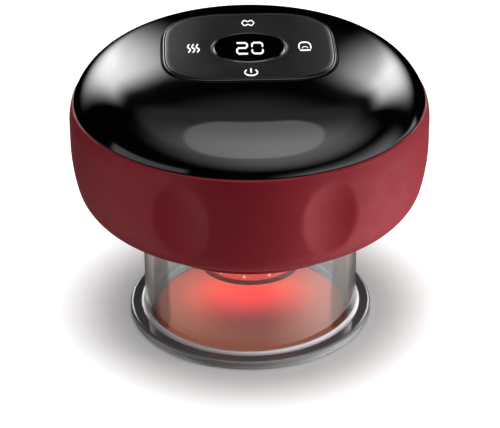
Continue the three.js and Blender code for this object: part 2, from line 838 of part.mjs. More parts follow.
function makeHead(parent) {
  const { drumRadius, drumWall, ringTop, lampTop, ringRadius, ringBore, plateSeat, lipHeight } = head;
  const ceiling = base.ceilingHeight;
  const plateRadius = plateSeat - gap;
  const plateLow = head.bottomHeight + lipHeight;
  const ring = [
    [ringBore, head.bottomHeight],
    [ringRadius, head.bottomHeight],
    [ringRadius, ringTop],
    [plateSeat, ringTop],
    [plateSeat, plateLow],
    [ringBore, plateLow],
  ];
  piece("head_ring", turned(ring, facets.large), material.blackPlastic, parent);
  piece("heat_plate", rod(plateRadius, plateLow, ringTop, facets.medium), material.steel, parent);
  const heaterTop = ringTop + head.heaterThickness;
  piece("heater_film", rod(head.heaterRadius, ringTop, heaterTop, facets.medium), material.film, parent);
  const magnetTop = heaterTop + head.magnetHeight;
  piece("head_magnet", rod(head.magnetRadius, heaterTop, magnetTop), material.steel, parent);

  const lampInner = drumRadius - head.lampWall;
  const lens = tubeRing(lampInner, drumRadius, ringTop, lampTop, facets.large);
  piece("lamp_ring", lens, material.redLens, parent);

  const boardLow = lampTop - lamp.boardThickness;
  let lamps = tubeRing(lamp.boardInner, lamp.boardOuter, boardLow, lampTop, facets.medium);
  for (let i = 0; i < lamp.count; i++) {
    const [x, y] = onCircle(lamp.circle, -90 + lamp.turn + (360 * i) / lamp.count);
    const bulbTop = boardLow + lamp.boardThickness / 2;
    const bulb = rod(lamp.radius, boardLow - lamp.height, bulbTop, facets.wire);
    lamps = fuse(lamps, moved(bulb, x, y));
  }
  piece("lamp_board", lamps, material.whitePlastic, parent);

  const stemTop = ceiling - head.drumTop / 2;
  let drum = cut(
    rod(drumRadius, lampTop, ceiling, facets.large),
    rod(drumRadius - drumWall, lampTop - overrun, ceiling - head.drumTop, facets.large),
  );
  drum = fuse(drum, rod(head.stemRadius, magnetTop + gap, stemTop));
  for (const x of [-head.screwX, head.screwX]) {
    const bossLow = ceiling - head.drumTop - head.screwBossHeight;
    drum = fuse(drum, moved(rod(head.screwBossRadius, bossLow, stemTop), x, 0));
    const pilotLow = base.ceilingTop - headScrewLength - gap;
    drum = cut(drum, moved(pilotHole(pilotLow, ceiling + overrun), x, 0));
  }
  const wireHole = rod(base.wireHole, ceiling - head.drumTop - overrun, ceiling + overrun);
  drum = cut(drum, moved(wireHole, 0, head.wireY));
  piece("head_drum", drum, material.blackPlastic, parent);

  [-head.screwX, head.screwX].forEach((x, i) => {
    const mesh = piece(`head_screw_${i + 1}`, screwSolid(headScrewLength), material.steel, parent);
    mesh.position.set(x, 0, base.ceilingTop);
  });
}

// The chassis plate, with saddles for the battery and the pump

function saddle(x, y, radius, axisHeight) {
  const width = 2 * (radius + chassis.saddleMargin);
  const ribLow = chassis.topHeight - chassis.thickness / 2;
  const ribTop = chassis.topHeight + chassis.saddleHeight;
  const rib = block(chassis.saddleThickness, width, ribLow, ribTop, x, y);
  const reach = chassis.saddleThickness;
  const trough = alongX(rod(radius + gap, -reach, reach, facets.medium));
  return cut(rib, moved(trough, x, y, axisHeight));
}

const chargeBoardTop = socket.height - socket.thickness / 2;
const chargeBoardLow = chargeBoardTop - socket.boardThickness;
const socketMouth = formRadiusAt(socket.height) - socket.sunk;
const chargeBoardBack = socketMouth - socket.length / 2;
const chargeBoardY = chargeBoardBack - socket.boardDepth / 2;

function makeChassis(parent) {
  const { bottomHeight, topHeight } = chassis;
  let solid = rod(base.flangeRadius, bottomHeight, topHeight, facets.large);
  for (const x of chassis.batterySaddleX)
    solid = fuse(solid, saddle(x, battery.y, battery.radius, battery.height));
  solid = fuse(solid, saddle(chassis.pumpSaddleX, pump.y, pump.motorRadius, pump.height));
  const crankcaseX = pump.motorLeft + (pumpStation.crankcaseLeft + pumpStation.crankcaseRight) / 2;
  const ledgeTop = pump.height - pump.side / 2 - gap;
  const ledge = block(pump.crankcaseLength / 2, pump.side, bottomHeight, ledgeTop, crankcaseX, pump.y);
  solid = fuse(solid, ledge);
  const { chargePostWidth, chargePostDepth } = chassis;
  const postY = battery.y + battery.radius + chassis.chargePostMargin + chargePostDepth / 2;
  const post = block(chargePostWidth, chargePostDepth, bottomHeight, chargeBoardLow, 0, postY);
  solid = fuse(solid, post);
  const slotLow = bottomHeight - overrun;
  const slotHigh = topHeight + overrun;
  const hoseHole = hose.radius + gap;
  for (const x of Object.values(portPlaces))
    solid = cut(solid, moved(rod(hoseHole, slotLow, slotHigh), x, port.y));
  solid = cut(solid, block(port.nippleSpacing, hoseHole, slotLow, slotHigh, 0, port.y));
  solid = cut(solid, moved(rod(base.wireHole, slotLow, slotHigh), 0, head.wireY));
  for (const [x, y] of places(shell.bossCount, shell.bossCircle))
    solid = cut(solid, moved(screwHole(slotLow, slotHigh), x, y));
  for (const y of strapFeet())
    solid = cut(solid, moved(pilotHole(slotLow, slotHigh), strap.x, y));
  piece("chassis", solid, material.whitePlastic, parent);

  places(shell.bossCount, shell.bossCircle).forEach(([x, y], i) => {
    const mesh = piece(`base_screw_${i + 1}`, screwSolid(baseScrewLength), material.steel, parent);
    mesh.position.set(x, y, topHeight);
  });
}

// The battery, the charging socket and its board

function makeBattery(parent) {
  const half = battery.length / 2;
  const can = turned(
    [
      [0, -half],
      [battery.radius, -half],
      [battery.radius, half - battery.capHeight],
      [battery.capRadius, half - battery.capHeight],
      [battery.capRadius, half],
      [0, half],
    ],
    facets.medium,
  );
  const mesh = piece("battery_cell", alongX(can), material.cell, parent);
  mesh.position.set(0, battery.y, battery.height);
}

// An outline with round ends, centred on the origin
function socketOutline(margin) {
  const radius = socket.thickness / 2 + margin;
  const reach = socket.width / 2 - socket.thickness / 2;
  const outline = new THREE.Shape();
  outline.absarc(reach, 0, radius, -Math.PI / 2, Math.PI / 2);
  outline.absarc(-reach, 0, radius, Math.PI / 2, (3 * Math.PI) / 2);
  return outline;
}

function makeSocket(parent) {
  const extrude = (shape, depth, y) =>
    solidOf(
      new THREE.ExtrudeGeometry(shape, { depth, curveSegments: facets.wire / 2, bevelEnabled: false })
        .rotateX(-Math.PI / 2)
        .translate(0, y, socket.height),
    );
  const can = extrude(socketOutline(0), socket.length, socketMouth - socket.length);
  const { mouthDepth, boardWidth, boardDepth } = socket;
  const mouth = extrude(socketOutline(-socket.wall), mouthDepth + overrun, socketMouth - mouthDepth);
  piece("charge_socket", cut(can, mouth), material.steel, parent);
  const plate = block(boardWidth, boardDepth, chargeBoardLow, chargeBoardTop, 0, chargeBoardY);
  piece("charge_board", plate, material.board, parent);
}

// The pump: a motor turns a wheel with a crank pin, which rocks the wobble plate behind the diaphragm

// Distances along the pump from the motor's left end
const pumpStation = { canRight: pump.motorLength };
pumpStation.crankcaseLeft = pumpStation.canRight + gap;
pumpStation.crankcaseRight = pumpStation.crankcaseLeft + pump.crankcaseLength;
pumpStation.diaphragmLeft = pumpStation.crankcaseRight + gap;
pumpStation.diaphragmRight = pumpStation.diaphragmLeft + pump.diaphragmThickness;
pumpStation.headLeft = pumpStation.diaphragmRight + gap;
pumpStation.headRight = pumpStation.headLeft + pump.headLength;
pumpStation.wobbleLeft = pumpStation.crankcaseRight - pump.wobbleLength;
pumpStation.wheelRight = pumpStation.wobbleLeft - (pump.pinLength - pump.wobbleRecessDepth) - gap;
pumpStation.wheelLeft = pumpStation.wheelRight - pump.wheelLength;

function makePump(parent) {
  const axis = new THREE.Group(); // its Z runs along the pump
  axis.position.set(pump.motorLeft, pump.y, pump.height);
  axis.rotation.y = Math.PI / 2;
  parent.add(axis);
  const { shaftRadius, bearingClearance, canWall, motorRadius, side } = pump;
  const at = pumpStation;
  const bearing = shaftRadius + bearingClearance;

  const can = cut(
    rod(motorRadius, 0, at.canRight, facets.medium),
    rod(motorRadius - canWall, -overrun, at.canRight - canWall, facets.medium),
    rod(bearing, at.canRight - canWall - overrun, at.canRight + overrun),
  );
  piece("motor_can", can, material.steel, axis);

  const capRadius = motorRadius - canWall - gap;
  const endCap = cut(
    rod(capRadius, 0, pump.endCapThickness, facets.medium),
    rod(bearing, pump.endCapThickness / 2, pump.endCapThickness + overrun),
  );
  piece("motor_end_cap", endCap, material.whitePlastic, axis);

  const armatureRight = at.canRight - canWall - bearingClearance - overrun;
  const armatureLeft = armatureRight - pump.armatureLength;
  const commutatorLeft = armatureLeft - pump.commutatorLength;
  const shaftLeft = pump.endCapThickness / 2 + bearingClearance;
  const rotor = fuse(
    rod(shaftRadius, shaftLeft, at.wheelRight),
    rod(pump.armatureRadius, armatureLeft, armatureRight),
    rod(pump.commutatorRadius, commutatorLeft, armatureLeft + overrun),
  );
  piece("motor_rotor", rotor, material.copper, axis);

  const pin = rod(pump.pinRadius, at.wheelLeft, at.wheelRight + pump.pinLength, facets.wire);
  const wheel = cut(
    fuse(rod(pump.wheelRadius, at.wheelLeft, at.wheelRight), moved(pin, pump.pinOffset, 0)),
    rod(shaftRadius + gap / 2, at.wheelLeft - overrun, at.wheelRight + overrun),
  );
  piece("pump_crank_wheel", wheel, material.whitePlastic, axis);

  const cavityLeft = at.crankcaseLeft + pump.crankcaseWall;
  const crankcase = cut(
    block(side, side, at.crankcaseLeft, at.crankcaseRight),
    rod(pump.cavityRadius, cavityLeft, at.crankcaseRight + overrun, facets.medium),
    rod(bearing, at.crankcaseLeft - overrun, at.crankcaseRight),
  );
  piece("pump_crankcase", crankcase, material.blackPlastic, axis);

  const recessRight = at.wobbleLeft + pump.wobbleRecessDepth;
  const wobble = cut(
    rod(pump.wobbleRadius, at.wobbleLeft, at.crankcaseRight, facets.medium),
    rod(pump.wobbleRecessRadius, at.wobbleLeft - overrun, recessRight, facets.medium),
  );
  piece("pump_wobble_plate", wobble, material.whitePlastic, axis);

  const chamberRight = at.diaphragmRight + pump.chamberDepth;
  let diaphragm = block(side, side, at.diaphragmLeft, at.diaphragmRight);
  let pumpHead = block(side, side, at.headLeft, at.headRight);
  for (const [x, y] of places(pump.chambers, pump.chamberCircle)) {
    const bell = rod(pump.chamberRadius, at.diaphragmLeft, chamberRight - gap);
    const pocket = rod(pump.chamberRadius + gap, at.headLeft - overrun, chamberRight);
    diaphragm = fuse(diaphragm, moved(bell, x, y));
    pumpHead = cut(pumpHead, moved(pocket, x, y));
  }
  piece("pump_diaphragm", diaphragm, material.silicone, axis);
  const nippleRight = at.headRight + pump.nippleLength;
  for (const y of [-pump.nippleOffset, pump.nippleOffset]) {
    const stub = rod(port.nippleRadius, at.headRight - overrun, nippleRight);
    const bore = rod(port.nippleBore, chamberRight + gap, nippleRight + overrun);
    pumpHead = cut(fuse(pumpHead, moved(stub, 0, y)), moved(bore, 0, y));
  }
  piece("pump_head", pumpHead, material.blackPlastic, axis);
}

// One bent strap over the pump and the battery, with a foot and a screw at each end

function strapFeet() {
  const reach = gap + strap.thickness + strap.footLength / 2;
  return [pump.y - pump.motorRadius - reach, battery.y + battery.radius + reach];
}

function makeStrap(parent) {
  const { width, thickness } = strap;
  const half = width / 2;
  const low = chassis.topHeight;
  const held = [
    { y: pump.y, radius: pump.motorRadius + gap, height: pump.height, side: -1 },
    { y: battery.y, radius: battery.radius + gap, height: battery.height, side: 1 },
  ];
  const arches = held.map(({ y, radius, height }) => {
    const outer = radius + thickness;
    const reach = outer + overrun;
    const ring = alongX(tubeRing(radius, outer, -half, half, facets.medium));
    const lower = block(width + overrun, 2 * reach, height - reach, height, 0, y);
    return cut(moved(ring, 0, y, height), lower);
  });
  const legs = held.map(({ y, radius, height, side }) =>
    block(width, thickness, low, height + thickness, 0, y + side * (radius + thickness / 2)),
  );
  const feet = strapFeet().map((y) =>
    cut(
      block(width, strap.footLength + 2 * thickness, low, low + thickness, 0, y),
      moved(screwHole(low - overrun, low + thickness + overrun), 0, y),
    ),
  );
  const [left, right] = held.map(({ y, radius, side }) => y - side * radius);
  const heights = held.map(({ height }) => height);
  const webTop = Math.max(...heights) + thickness;
  const web = block(width, right - left + thickness, Math.min(...heights), webTop, 0, (left + right) / 2);
  const openings = held.map(({ y, radius, height }) =>
    moved(alongX(rod(radius, -width, width, facets.medium)), 0, y, height),
  );
  const bent = cut(fuse(...arches, ...legs, ...feet, web), ...openings);
  const mesh = piece("retaining_strap", bent, material.steel, parent);
  mesh.position.x = strap.x;
  strapFeet().forEach((y, i) => {
    const fixing = piece(`strap_screw_${i + 1}`, screwSolid(strapScrewLength), material.steel, parent);
    fixing.position.set(strap.x, y, low + thickness);
  });
}

// The release valve: a solenoid draws the plunger down from its seat and lets air into the cup

function makeValve(parent) {
  const place = groupAt(parent, valve.x, valve.y, chassis.topHeight);
  const boreLow = valve.height - valve.boreDepth;
  const body = cut(
    block(valve.side, valve.side, 0, valve.height),
    rod(valve.boreRadius, boreLow, valve.height + overrun),
  );
  piece("valve_body", body, material.steel, place);
  const springTop = boreLow + valve.springLength;
  const plungerRadius = valve.boreRadius - valve.plungerClearance;
  const spring = tubeRing(valve.springInner, plungerRadius, boreLow, springTop);
  piece("valve_spring", spring, material.steel, place);
  const plungerTop = valve.height + valve.plungerTop;
  piece("valve_plunger", rod(plungerRadius, springTop, plungerTop), material.copper, place);
  const capTop = valve.height + valve.capHeight;
  const nippleAt = valve.height + valve.nippleHeight;
  const nippleEnd = valve.capRadius + valve.nippleLength;
  const seatHeight = valve.height + valve.chamberHeight;
  const cap = cut(
    fuse(
      rod(valve.capRadius, valve.height, capTop, facets.medium),
      moved(alongX(rod(port.nippleRadius, valve.capRadius - overrun, nippleEnd)), 0, 0, nippleAt),
    ),
    rod(valve.chamberRadius, valve.height - overrun, seatHeight),
    moved(alongX(rod(port.nippleBore, 0, nippleEnd + overrun)), 0, 0, nippleAt),
  );
  piece("valve_cap", cap, material.blackPlastic, place);
}

// Hoses and leads

const roofTop = base.ceilingHeight + port.chamberHeight + port.roof;
const hoseFoot = roofTop + port.nippleHeight - hose.overlap;
const between = (a, b) => (a + b) / 2;

// Distances from the end of a hose along the straight stretch on a nipple and just past it
const hoseGrip = [0, hose.overlap / 2, hose.overlap, hose.overlap + hose.lead];

// The last stretch of a hose, which comes straight down over a nipple of the suction port
const hoseEnd = (x) => hoseGrip.toReversed().map((rise) => [x, port.y, hoseFoot + rise]);

function makeHoses(parent) {
  const hosePiece = (name, points) =>
    piece(name, sweep(smoothCurve(points), hose.radius, hose.bore, hose.steps), material.silicone, parent);
  const { overlap, bend } = hose;

  const pumpTip = pump.motorLeft + pumpStation.headRight + pump.nippleLength;
  const pumpNippleY = pump.y - pump.nippleOffset;
  const loopRight = pumpTip + hose.loopReach;
  const loopFront = port.y - hose.loopDepth;
  const loopHeight = pump.height - hose.loopDrop;
  hosePiece("pump_hose", [
    ...hoseGrip.map((along) => [pumpTip - overlap + along, pumpNippleY, pump.height]),
    [loopRight, between(pumpNippleY, loopFront), between(pump.height, loopHeight)],
    [between(loopRight, portPlaces.pump), loopFront, loopHeight],
    [portPlaces.pump + bend, between(port.y, loopFront), loopHeight],
    ...hoseEnd(portPlaces.pump),
  ]);

  const valveTip = valve.x + valve.capRadius + valve.nippleLength;
  const valveAxis = chassis.topHeight + valve.height + valve.nippleHeight;
  hosePiece("valve_hose", [
    ...hoseGrip.map((along) => [valveTip - overlap + along, valve.y, valveAxis]),
    [valveTip + bend, between(valve.y, port.y), valveAxis - bend / 2],
    [portPlaces.valve + bend / 2, port.y, loopHeight + bend],
    ...hoseEnd(portPlaces.valve),
  ]);
}

function makeLeads(parent) {
  const lead = (name, points, look) =>
    piece(name, sweep(smoothCurve(points), wire.radius, 0, wire.steps), look, parent);
  const { end, loop, radius } = wire;
  const boardEnd = board.bottomHeight - end;
  const underBoard = (x, y) => [boardEnd - radius, boardEnd].map((height) => [x, y, height]);

  const lampY = lamp.boardInner + wire.radius;
  const lampStart = head.lampTop + end;
  const lampRoute = [
    [0, lampY, lampStart],
    [0, between(lampY, head.wireY), between(lampStart, base.ceilingHeight)],
    [0, head.wireY, base.ceilingHeight],
    [0, head.wireY, chassis.topHeight],
    [0, head.wireY, boardEnd],
  ];
  lead("lamp_lead", lampRoute, material.whitePlastic);

  const cellEnd = battery.length / 2 + end;
  const batteryRoute = [
    [cellEnd, battery.y, battery.height],
    [cellEnd + radius, battery.y, battery.height],
    [cellEnd + loop, battery.y - loop, between(battery.height, boardEnd)],
    ...underBoard(cellEnd, battery.y - battery.radius),
  ];
  lead("battery_lead", batteryRoute, material.redWire);

  const brushY = pump.y + wire.brushOffset;
  const motorRoute = [
    [pump.motorLeft - end, brushY, pump.height],
    [pump.motorLeft - end - radius, brushY, pump.height],
    [pump.motorLeft - loop, brushY, between(pump.height, boardEnd)],
    ...underBoard(pump.motorLeft - loop / 2, brushY),
  ];
  lead("motor_lead", motorRoute, material.redWire);
}

makeCup(massager);
makeGripShell(massager);
makeTopCover(massager);
makePanel(massager);
makeBoard(massager);
makeBasePlate(massager);
makeHead(massager);
makeChassis(massager);
makeBattery(massager);
makeSocket(massager);
makePump(massager);
makeStrap(massager);
makeValve(massager);
makeHoses(massager);
makeLeads(massager);

export default massager;
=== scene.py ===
"""Looks of an electric cupping massager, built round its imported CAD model.

Sizes are in millimetres, which MM turns into metres. Z is up, the front faces -Y and the floor is at Z = 0.
"""
import math

import bmesh
import bpy
from mathutils import Matrix, Vector


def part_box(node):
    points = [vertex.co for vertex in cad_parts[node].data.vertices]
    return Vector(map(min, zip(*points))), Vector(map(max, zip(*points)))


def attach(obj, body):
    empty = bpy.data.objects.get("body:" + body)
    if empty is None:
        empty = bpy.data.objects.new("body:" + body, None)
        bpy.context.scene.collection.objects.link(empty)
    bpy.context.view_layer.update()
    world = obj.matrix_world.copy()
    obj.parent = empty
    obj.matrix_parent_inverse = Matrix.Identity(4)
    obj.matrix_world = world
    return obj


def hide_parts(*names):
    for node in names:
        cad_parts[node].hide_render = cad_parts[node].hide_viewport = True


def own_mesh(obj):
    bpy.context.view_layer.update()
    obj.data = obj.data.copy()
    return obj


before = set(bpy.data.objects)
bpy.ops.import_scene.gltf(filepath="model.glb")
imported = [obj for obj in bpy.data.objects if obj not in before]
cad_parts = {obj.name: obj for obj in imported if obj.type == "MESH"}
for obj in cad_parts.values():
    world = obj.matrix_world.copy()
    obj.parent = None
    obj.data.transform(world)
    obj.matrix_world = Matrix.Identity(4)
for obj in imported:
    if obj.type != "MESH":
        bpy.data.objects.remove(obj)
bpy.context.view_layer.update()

MM = 0.001

# The camera stands where the photograph was taken from

PHOTO_WIDTH = 500
PHOTO_HEIGHT = 428
CAMERA = {
    "distance": 520.9,
    "height": 319.9,
    "turn": 1.9,  # degrees to the left of the front
    "focus": 2277,  # focal length in pixels of the photograph
    "pitch": 28.95,
    "horizon_row": 201.58,  # the pixel row that the pitch is measured to
    "roll": -0.31,
    "sensor": 36,
    "clip_start": 10,
    "clip_end": 10000,
}

# Sizes of the visible pieces, which are the CAD model's apart from small changes for the looks

GAP = 0.3  # between neighbouring pieces
SIDES = 192  # facets round a large turned piece
ARC_STEPS = 16
FORM = {
    "radius": 46,
    "top": 76.9,
    "crown": 143,
    "shoulder": 15.9,
    "side": 49.3,
    "corner": 9.8,
    "widest": 51.9,
    "bottom": 32.9,
}
CUP = {
    "outer": 28.0,
    "inner": 25.7,
    "top": 36.7,
    "flange": 32,
    "flange_thickness": 2.6,
    "edge_round": 0.8,
    "fillet": 1.2,
    "mouth_round": 1.2,
    "wall_shares": (0.8, 0.6, 0.4, 0.2),
    "sides": 256,
}
SHELL = {
    "wall": 2.2,
    "split": 62.35,
    "lip_inset": 0.2,
    "lip_round": 0.6,
    "inside_heights": (60, 56, 52, 48, 44, 40, 37, 35.2),
    "collar_inner": 28.9,
    "collar_outer": 31.1,
    "collar_bottom": 27.9,
    "collar_round": 0.5,
    "collar_step": 0.5,
    "step_shares": ((1, 1), (1, 0.25), (1.3, 0)),  # outward from the collar and up from the underside
    "groove_height": 29.6,
    "groove": ((0, -0.4), (-0.35, -0.3), (-0.35, 0.1), (0, 0.2)),  # outward from the collar and up
}
DIMPLE = {
    "angles": (-23.6, 23.6, 156.4, 203.6),  # degrees from the front, to the right
    "reach": 60,  # degrees to either side, past which there is nothing of it
    "height": 49.5,
    "depth": 1.85,
    "half_width": 7.4,
    "half_height": 10.4,
    "softness": 0.08,
}
COVER = {
    "outline_step": 0.1,
    "dome_rings": 24,
    "bend": 3.5,  # half the length over which the crown bends into the shoulder
    "edge_round": 0.3,
    "shoulder_start": 33,
    "recess_gap": 0.12,
    "recess_round": 0.15,
    "inside_radii": (36, 38, 39.5),
    "skirt_clearance": 0.4,
    "skirt_wall": 1.6,
    "skirt_depth": 4,
}
PANEL = {
    "half_width": 21.8,
    "half_depth": 19.3,
    "middle": 1.25,  # of the panel, behind the form's axis
    "front_power": 3.0,
    "back_power": 4.6,
    "roll_start": 12,  # the face is flat to this radius, and rolls down outside it
    "roll": 0.043,
    "roll_power": 1.4,
    "back_share": 0.5,
    "top": 76.4,
    "bottom": 74.4,
    "bevel": 0.3,
    "face_rings": 14,
    "groove": ((0.82, 0), (0.7, -0.06), (0.64, 0)),  # inward from the edge and up
    "floor": 74.1,
    "floor_thickness": 1.8,
}
DISPLAY = {
    "opening": 9.35,
    "lip": ((0, -0.1), (0.1, 0)),  # outward from the opening and up
    "window": 9.28,
    "slope": (0.52, 0.38),  # how wide and how deep the lens's rim slopes
    "slope_shares": ((0, 1), (0.15, 0.8), (0.85, 0.2), (1, 0), (1.5, 0)),
    "top": 76.42,
    "bottom": 74.4,
    "depth_share": 0.93,
    "forward": 0.6,
}
MARK = {
    "height": 0.04,  # how far a mark stands above its surface
    "stretch": 2.36,  # marks are drawn as the camera sees them, and are longer in depth by this
    "lean": 2.1,  # how far back a mark goes for each millimetre that the panel rolls down under it
    "least_miter": 0.6,
    "bold": 0.38,
    "stroke": 0.32,
    "loop": 0.24,
    "thin": 0.16,
}
MARK_PLACES = {"heat": (-14.06, -0.48), "suction": (14.04, -0.38), "mode": (0.17, 14.2), "power": (0, -15.1)}
DIGIT = {"size": 3.3, "stroke": 0.4, "pitch": 3.84, "centre": (0.13, -1.1)}
HEAD = {
    "bottom": 14.8,
    "ring_radius": 13.5,
    "ring_bore": 9.6,
    "ring_top": 15.8,
    "ring_round": 0.3,
    "plate_radius": 10.1,
    "plate_bottom": 15.2,
    "plate_round": 0.15,
    "drum_radius": 12.6,
    "drum_inner": 11.1,
    "drum_lid": 2,
    "lens_inner": 11.6,
    "lens_top": 20.6,
    "ceiling": 32,
    "sides": 128,
    "plate_sides": 96,
}
TIP = {"count": 12, "sides": 16, "turn": -9, "radius": 0.4, "rise": 0.14, "height": 16.8}
SOCKET = {
    "height": 50.2,
    "width": 8.9,
    "thickness": 3.2,
    "length": 7.4,
    "wall": 0.4,
    "edge_round": 0.12,
    "sunk": 0.8,
    "clearance": 0.3,
    "mouth_depth": 5,
    "tongue_width": 6.2,
    "tongue_thickness": 0.7,
    "tongue_sunk": 1,
    "overlap": 0.01,
}
SPRING = {"wire": 0.2, "turns": 4, "steps": 24, "travel": 1.2}

# The colours of the cup's glass, and where each comes on, from none to full, outward or up from a named
# place. Side and flange shade are painted shade, rim and highlight ring are painted highlights

GLASS_TINTS = {
    "clear": (0.93, 0.95, 0.95, 1),
    # painted shade: the dark band that the tube shows at its sides, where it faces away
    "side": (0.2, 0.16, 0.14, 1),
    "flange_shade": (0.32, 0.32, 0.32, 1),
    # painted shade: a dark grey over the flange, partly solid, for the dark that shows through it
    "mouth": (0.25, 0.25, 0.25, 1),
    # painted highlight: a light grey on the flange's lower outer edge
    "rim": (0.5, 0.52, 0.53, 1),
    # painted highlight: a pale, partly solid ring over the fillet where the tube meets the flange
    "highlight_ring": (0.82, 0.79, 0.83, 1),
    "inside": (0.5, 0.48, 0.46, 1),
}
GLASS_EDGES = {
    "side_shade_facing": (0.43, 0.48),
    "side_shade_up": (3.0, 4.0),
    "flange_shade_out": (0, 0.3),
    "mouth_in": (0, -0.3),
    "mouth_down": (2.4, 1.6),
    "rim_highlight_out": (-1.4, -0.9),
    "rim_highlight_down": (1.3, 0.8),
    "highlight_ring_out": (0.02, 0.2),
    "highlight_ring_up": (-0.6, -0.2),
    "highlight_ring_in": (0.05, -0.2),
}
GLASS_DENSITY = 50
# patches that vary the painted highlight ring
CLOUD = {"size": 14, "shares": (0.8, 1.0)}
# how solid the painted highlight ring and the painted flange shade are
SOLID_SHARES = {"highlight_ring": 0.8, "flange_shade": 0.5}  # how much of the light doesn't pass

# Light: what isn't mirrored gets the even light, and glass lets little of it through to other surfaces

EVEN_LIGHT = 0.1
THROUGH_GLASS_SHARE = 0.05
HORIZON = 0.02  # the least height of a direction that the lights overhead are worked out for

# Soft boxes: left, right, bottom, top edge from no light to full in degrees, brightness, lean of the ends

SOFT_WINDOWS = (
    ((-176, -163), (-129, -157), (-9, 24), (38.5, 28), 7.5, 0.12),
    ((119, 147), (169, 154), (-1, 27), (41.5, 31.5), 8.4, -0.12),
    ((-98, -92), (-38, -45), (-24, -8), (14.5, 12), 1.15, 0.13),
    ((5, 45), (112, 85), (-50, -14), (21, 3), 2.0, 0),
    ((98, 106), (128, 122), (-16, -12), (-2, -5), 1.4, 0),
    ((35, 75), (140, 105), (-85, -60), (-14, -30), 1.6, 0),
    ((-130, -105), (-40, -70), (-85, -60), (-14, -30), 0.5, 0),
    ((-190, -181), (190, 181), (-60, -45), (-20, -35), 0.14, 0),
    ((-190, -181), (190, 181), (43, 53), (100, 95), 0.33, 0),
)

# Lights overhead, in a plane one unit above the object

FIELD = {"centre": (0.42, -0.65), "radii": (2.15, 1.9), "back": (0.65, -0.35), "strength": 2.35}
OVAL = {
    "centre": (0.04, -0.1),
    "radii": (0.51, 0.82),
    "narrowing": -0.47,
    "least_width": 0.05,
    "edge": 0.05,
    "back": (0.6, 0.52),
    "strength": 1.54,
}

# Lamps that point at AIM: place, size and power in watts

AIM = (0, 0, 45)
LAMPS = {
    "key": ((676, -246, 16), 130, 4.4),
    "low_key": ((93, -62, 12), 22, 0.052),
    "fill": ((-74, -90, 44), 40, 0.022),
    "top": ((0, 60, 900), 700, 3.5),
}
LAMP_DROP = 0.6  # how far the head's two lamps hang below its surfaces
SPILL = {"size": 50, "power": 0.019, "tint": (1, 0.27, 0.13)}
GLOW = {
    "back": 7,
    "aim_back": 9,
    "width": 26,
    "depth": 10,
    "spread": 140,
    "power": 0.003,
    "tint": (1, 0.01, 0.006),
}
FLOOR = {
    "half_size": 3000,
    "colour": (0.82, 0.81, 0.8, 1),
    # the floor's own white fades to none towards the cup, which paints a round shadow there
    "white_fading_to_painted_shadow": ((31, 64, 0.75), (31, 33, 0.2)),  # from none at one radius to so much at another
}

# Outlines


def arc(x, y, radius, start, end, steps=ARC_STEPS):
    """Points of an arc about (x, y), from one angle to another in degrees."""
    angles = [math.radians(start + (end - start) * i / steps) for i in range(steps + 1)]
    return [(x + radius * math.cos(a), y + radius * math.sin(a)) for a in angles]


def direction(a, b):
    return math.degrees(math.atan2(b[1] - a[1], b[0] - a[0]))


def form_arcs():
    """The centres of the form's arcs as (radius, height), and the angles at which neighbouring arcs meet."""
    crown = (0, FORM["top"] - FORM["crown"])
    x = FORM["radius"] - FORM["shoulder"]
    shoulder = (x, crown[1] + math.sqrt((FORM["crown"] - FORM["shoulder"]) ** 2 - x**2))
    side = (FORM["radius"] - FORM["side"], FORM["widest"])
    drop = FORM["widest"] - FORM["bottom"] - FORM["corner"]
    reach = math.sqrt((FORM["side"] - FORM["corner"]) ** 2 - drop**2)
    corner = (side[0] + reach, FORM["bottom"] + FORM["corner"])
    return crown, shoulder, side, corner, direction(crown, shoulder), direction(side, corner)


CROWN, SHOULDER, SIDE, CORNER, CROWN_TURN, CORNER_TURN = form_arcs()


def form_radius(height, inset=0):
    """The form's radius at a height below its crown, with its outline moved inwards by inset."""

    def on_arc(centre, radius):
        return centre[0] + math.sqrt((radius - inset) ** 2 - (height - centre[1]) ** 2)

    corner_top = CORNER[1] + (FORM["corner"] - inset) * math.sin(math.radians(CORNER_TURN))
    if height < corner_top:
        return on_arc(CORNER, FORM["corner"])
    if height < SIDE[1]:
        return on_arc(SIDE, FORM["side"])
    if height < SHOULDER[1]:
        return FORM["radius"] - inset
    return on_arc(SHOULDER, FORM["shoulder"])


def shoulder_height(radius, inset):
    """The height of the form's shoulder at a radius."""
    drop = (FORM["shoulder"] - inset) ** 2 - (radius - SHOULDER[0]) ** 2
    return SHOULDER[1] + math.sqrt(drop)


def cover_line(inset):
    """The cover's outline from its middle to the split as (radius, height), bending more and more."""
    step = COVER["outline_step"]
    turn = math.radians(90 - CROWN_TURN)
    crown_bend = 1 / (FORM["crown"] - inset)
    shoulder_bend = 1 / (FORM["shoulder"] - inset)
    start = turn / crown_bend - COVER["bend"]
    x, z, slope, walked = 0.0, FORM["top"] - inset, 0.0, 0.0
    line = [(x, z)]
    while z > SHELL["split"]:
        share = min(max((walked - start) / (2 * COVER["bend"]), 0), 1)
        share = share * share * (3 - 2 * share)
        slope += step * (crown_bend + (shoulder_bend - crown_bend) * share)
        x += step * math.cos(slope)
        z -= step * math.sin(slope)
        walked += step
        line.append((x, z))
    fit = form_radius(SHELL["split"], inset) / line[-1][0]
    return [(x * fit, z) for x, z in line]


def line_height(line, radius):
    """The height of a line of (radius, height) points at a radius."""
    for a, b in zip(line, line[1:]):
        if a[0] <= radius <= b[0]:
            share = (radius - a[0]) / (b[0] - a[0])
            return a[1] + (b[1] - a[1]) * share
    return line[-1][1]


def ring(radius, height, sides=SIDES):
    """One turn of points, starting at the front and going to the right."""
    angles = [2 * math.pi * i / sides for i in range(sides)]
    return [(radius * math.sin(a), -radius * math.cos(a), height) for a in angles]


def display_ring(radius, height):
    """A ring round the display, which lies a little forward and is a little shorter than it is wide."""
    short, forward = DISPLAY["depth_share"], DISPLAY["forward"]
    return [(x, y * short - forward, z) for x, y, z in ring(radius, height)]


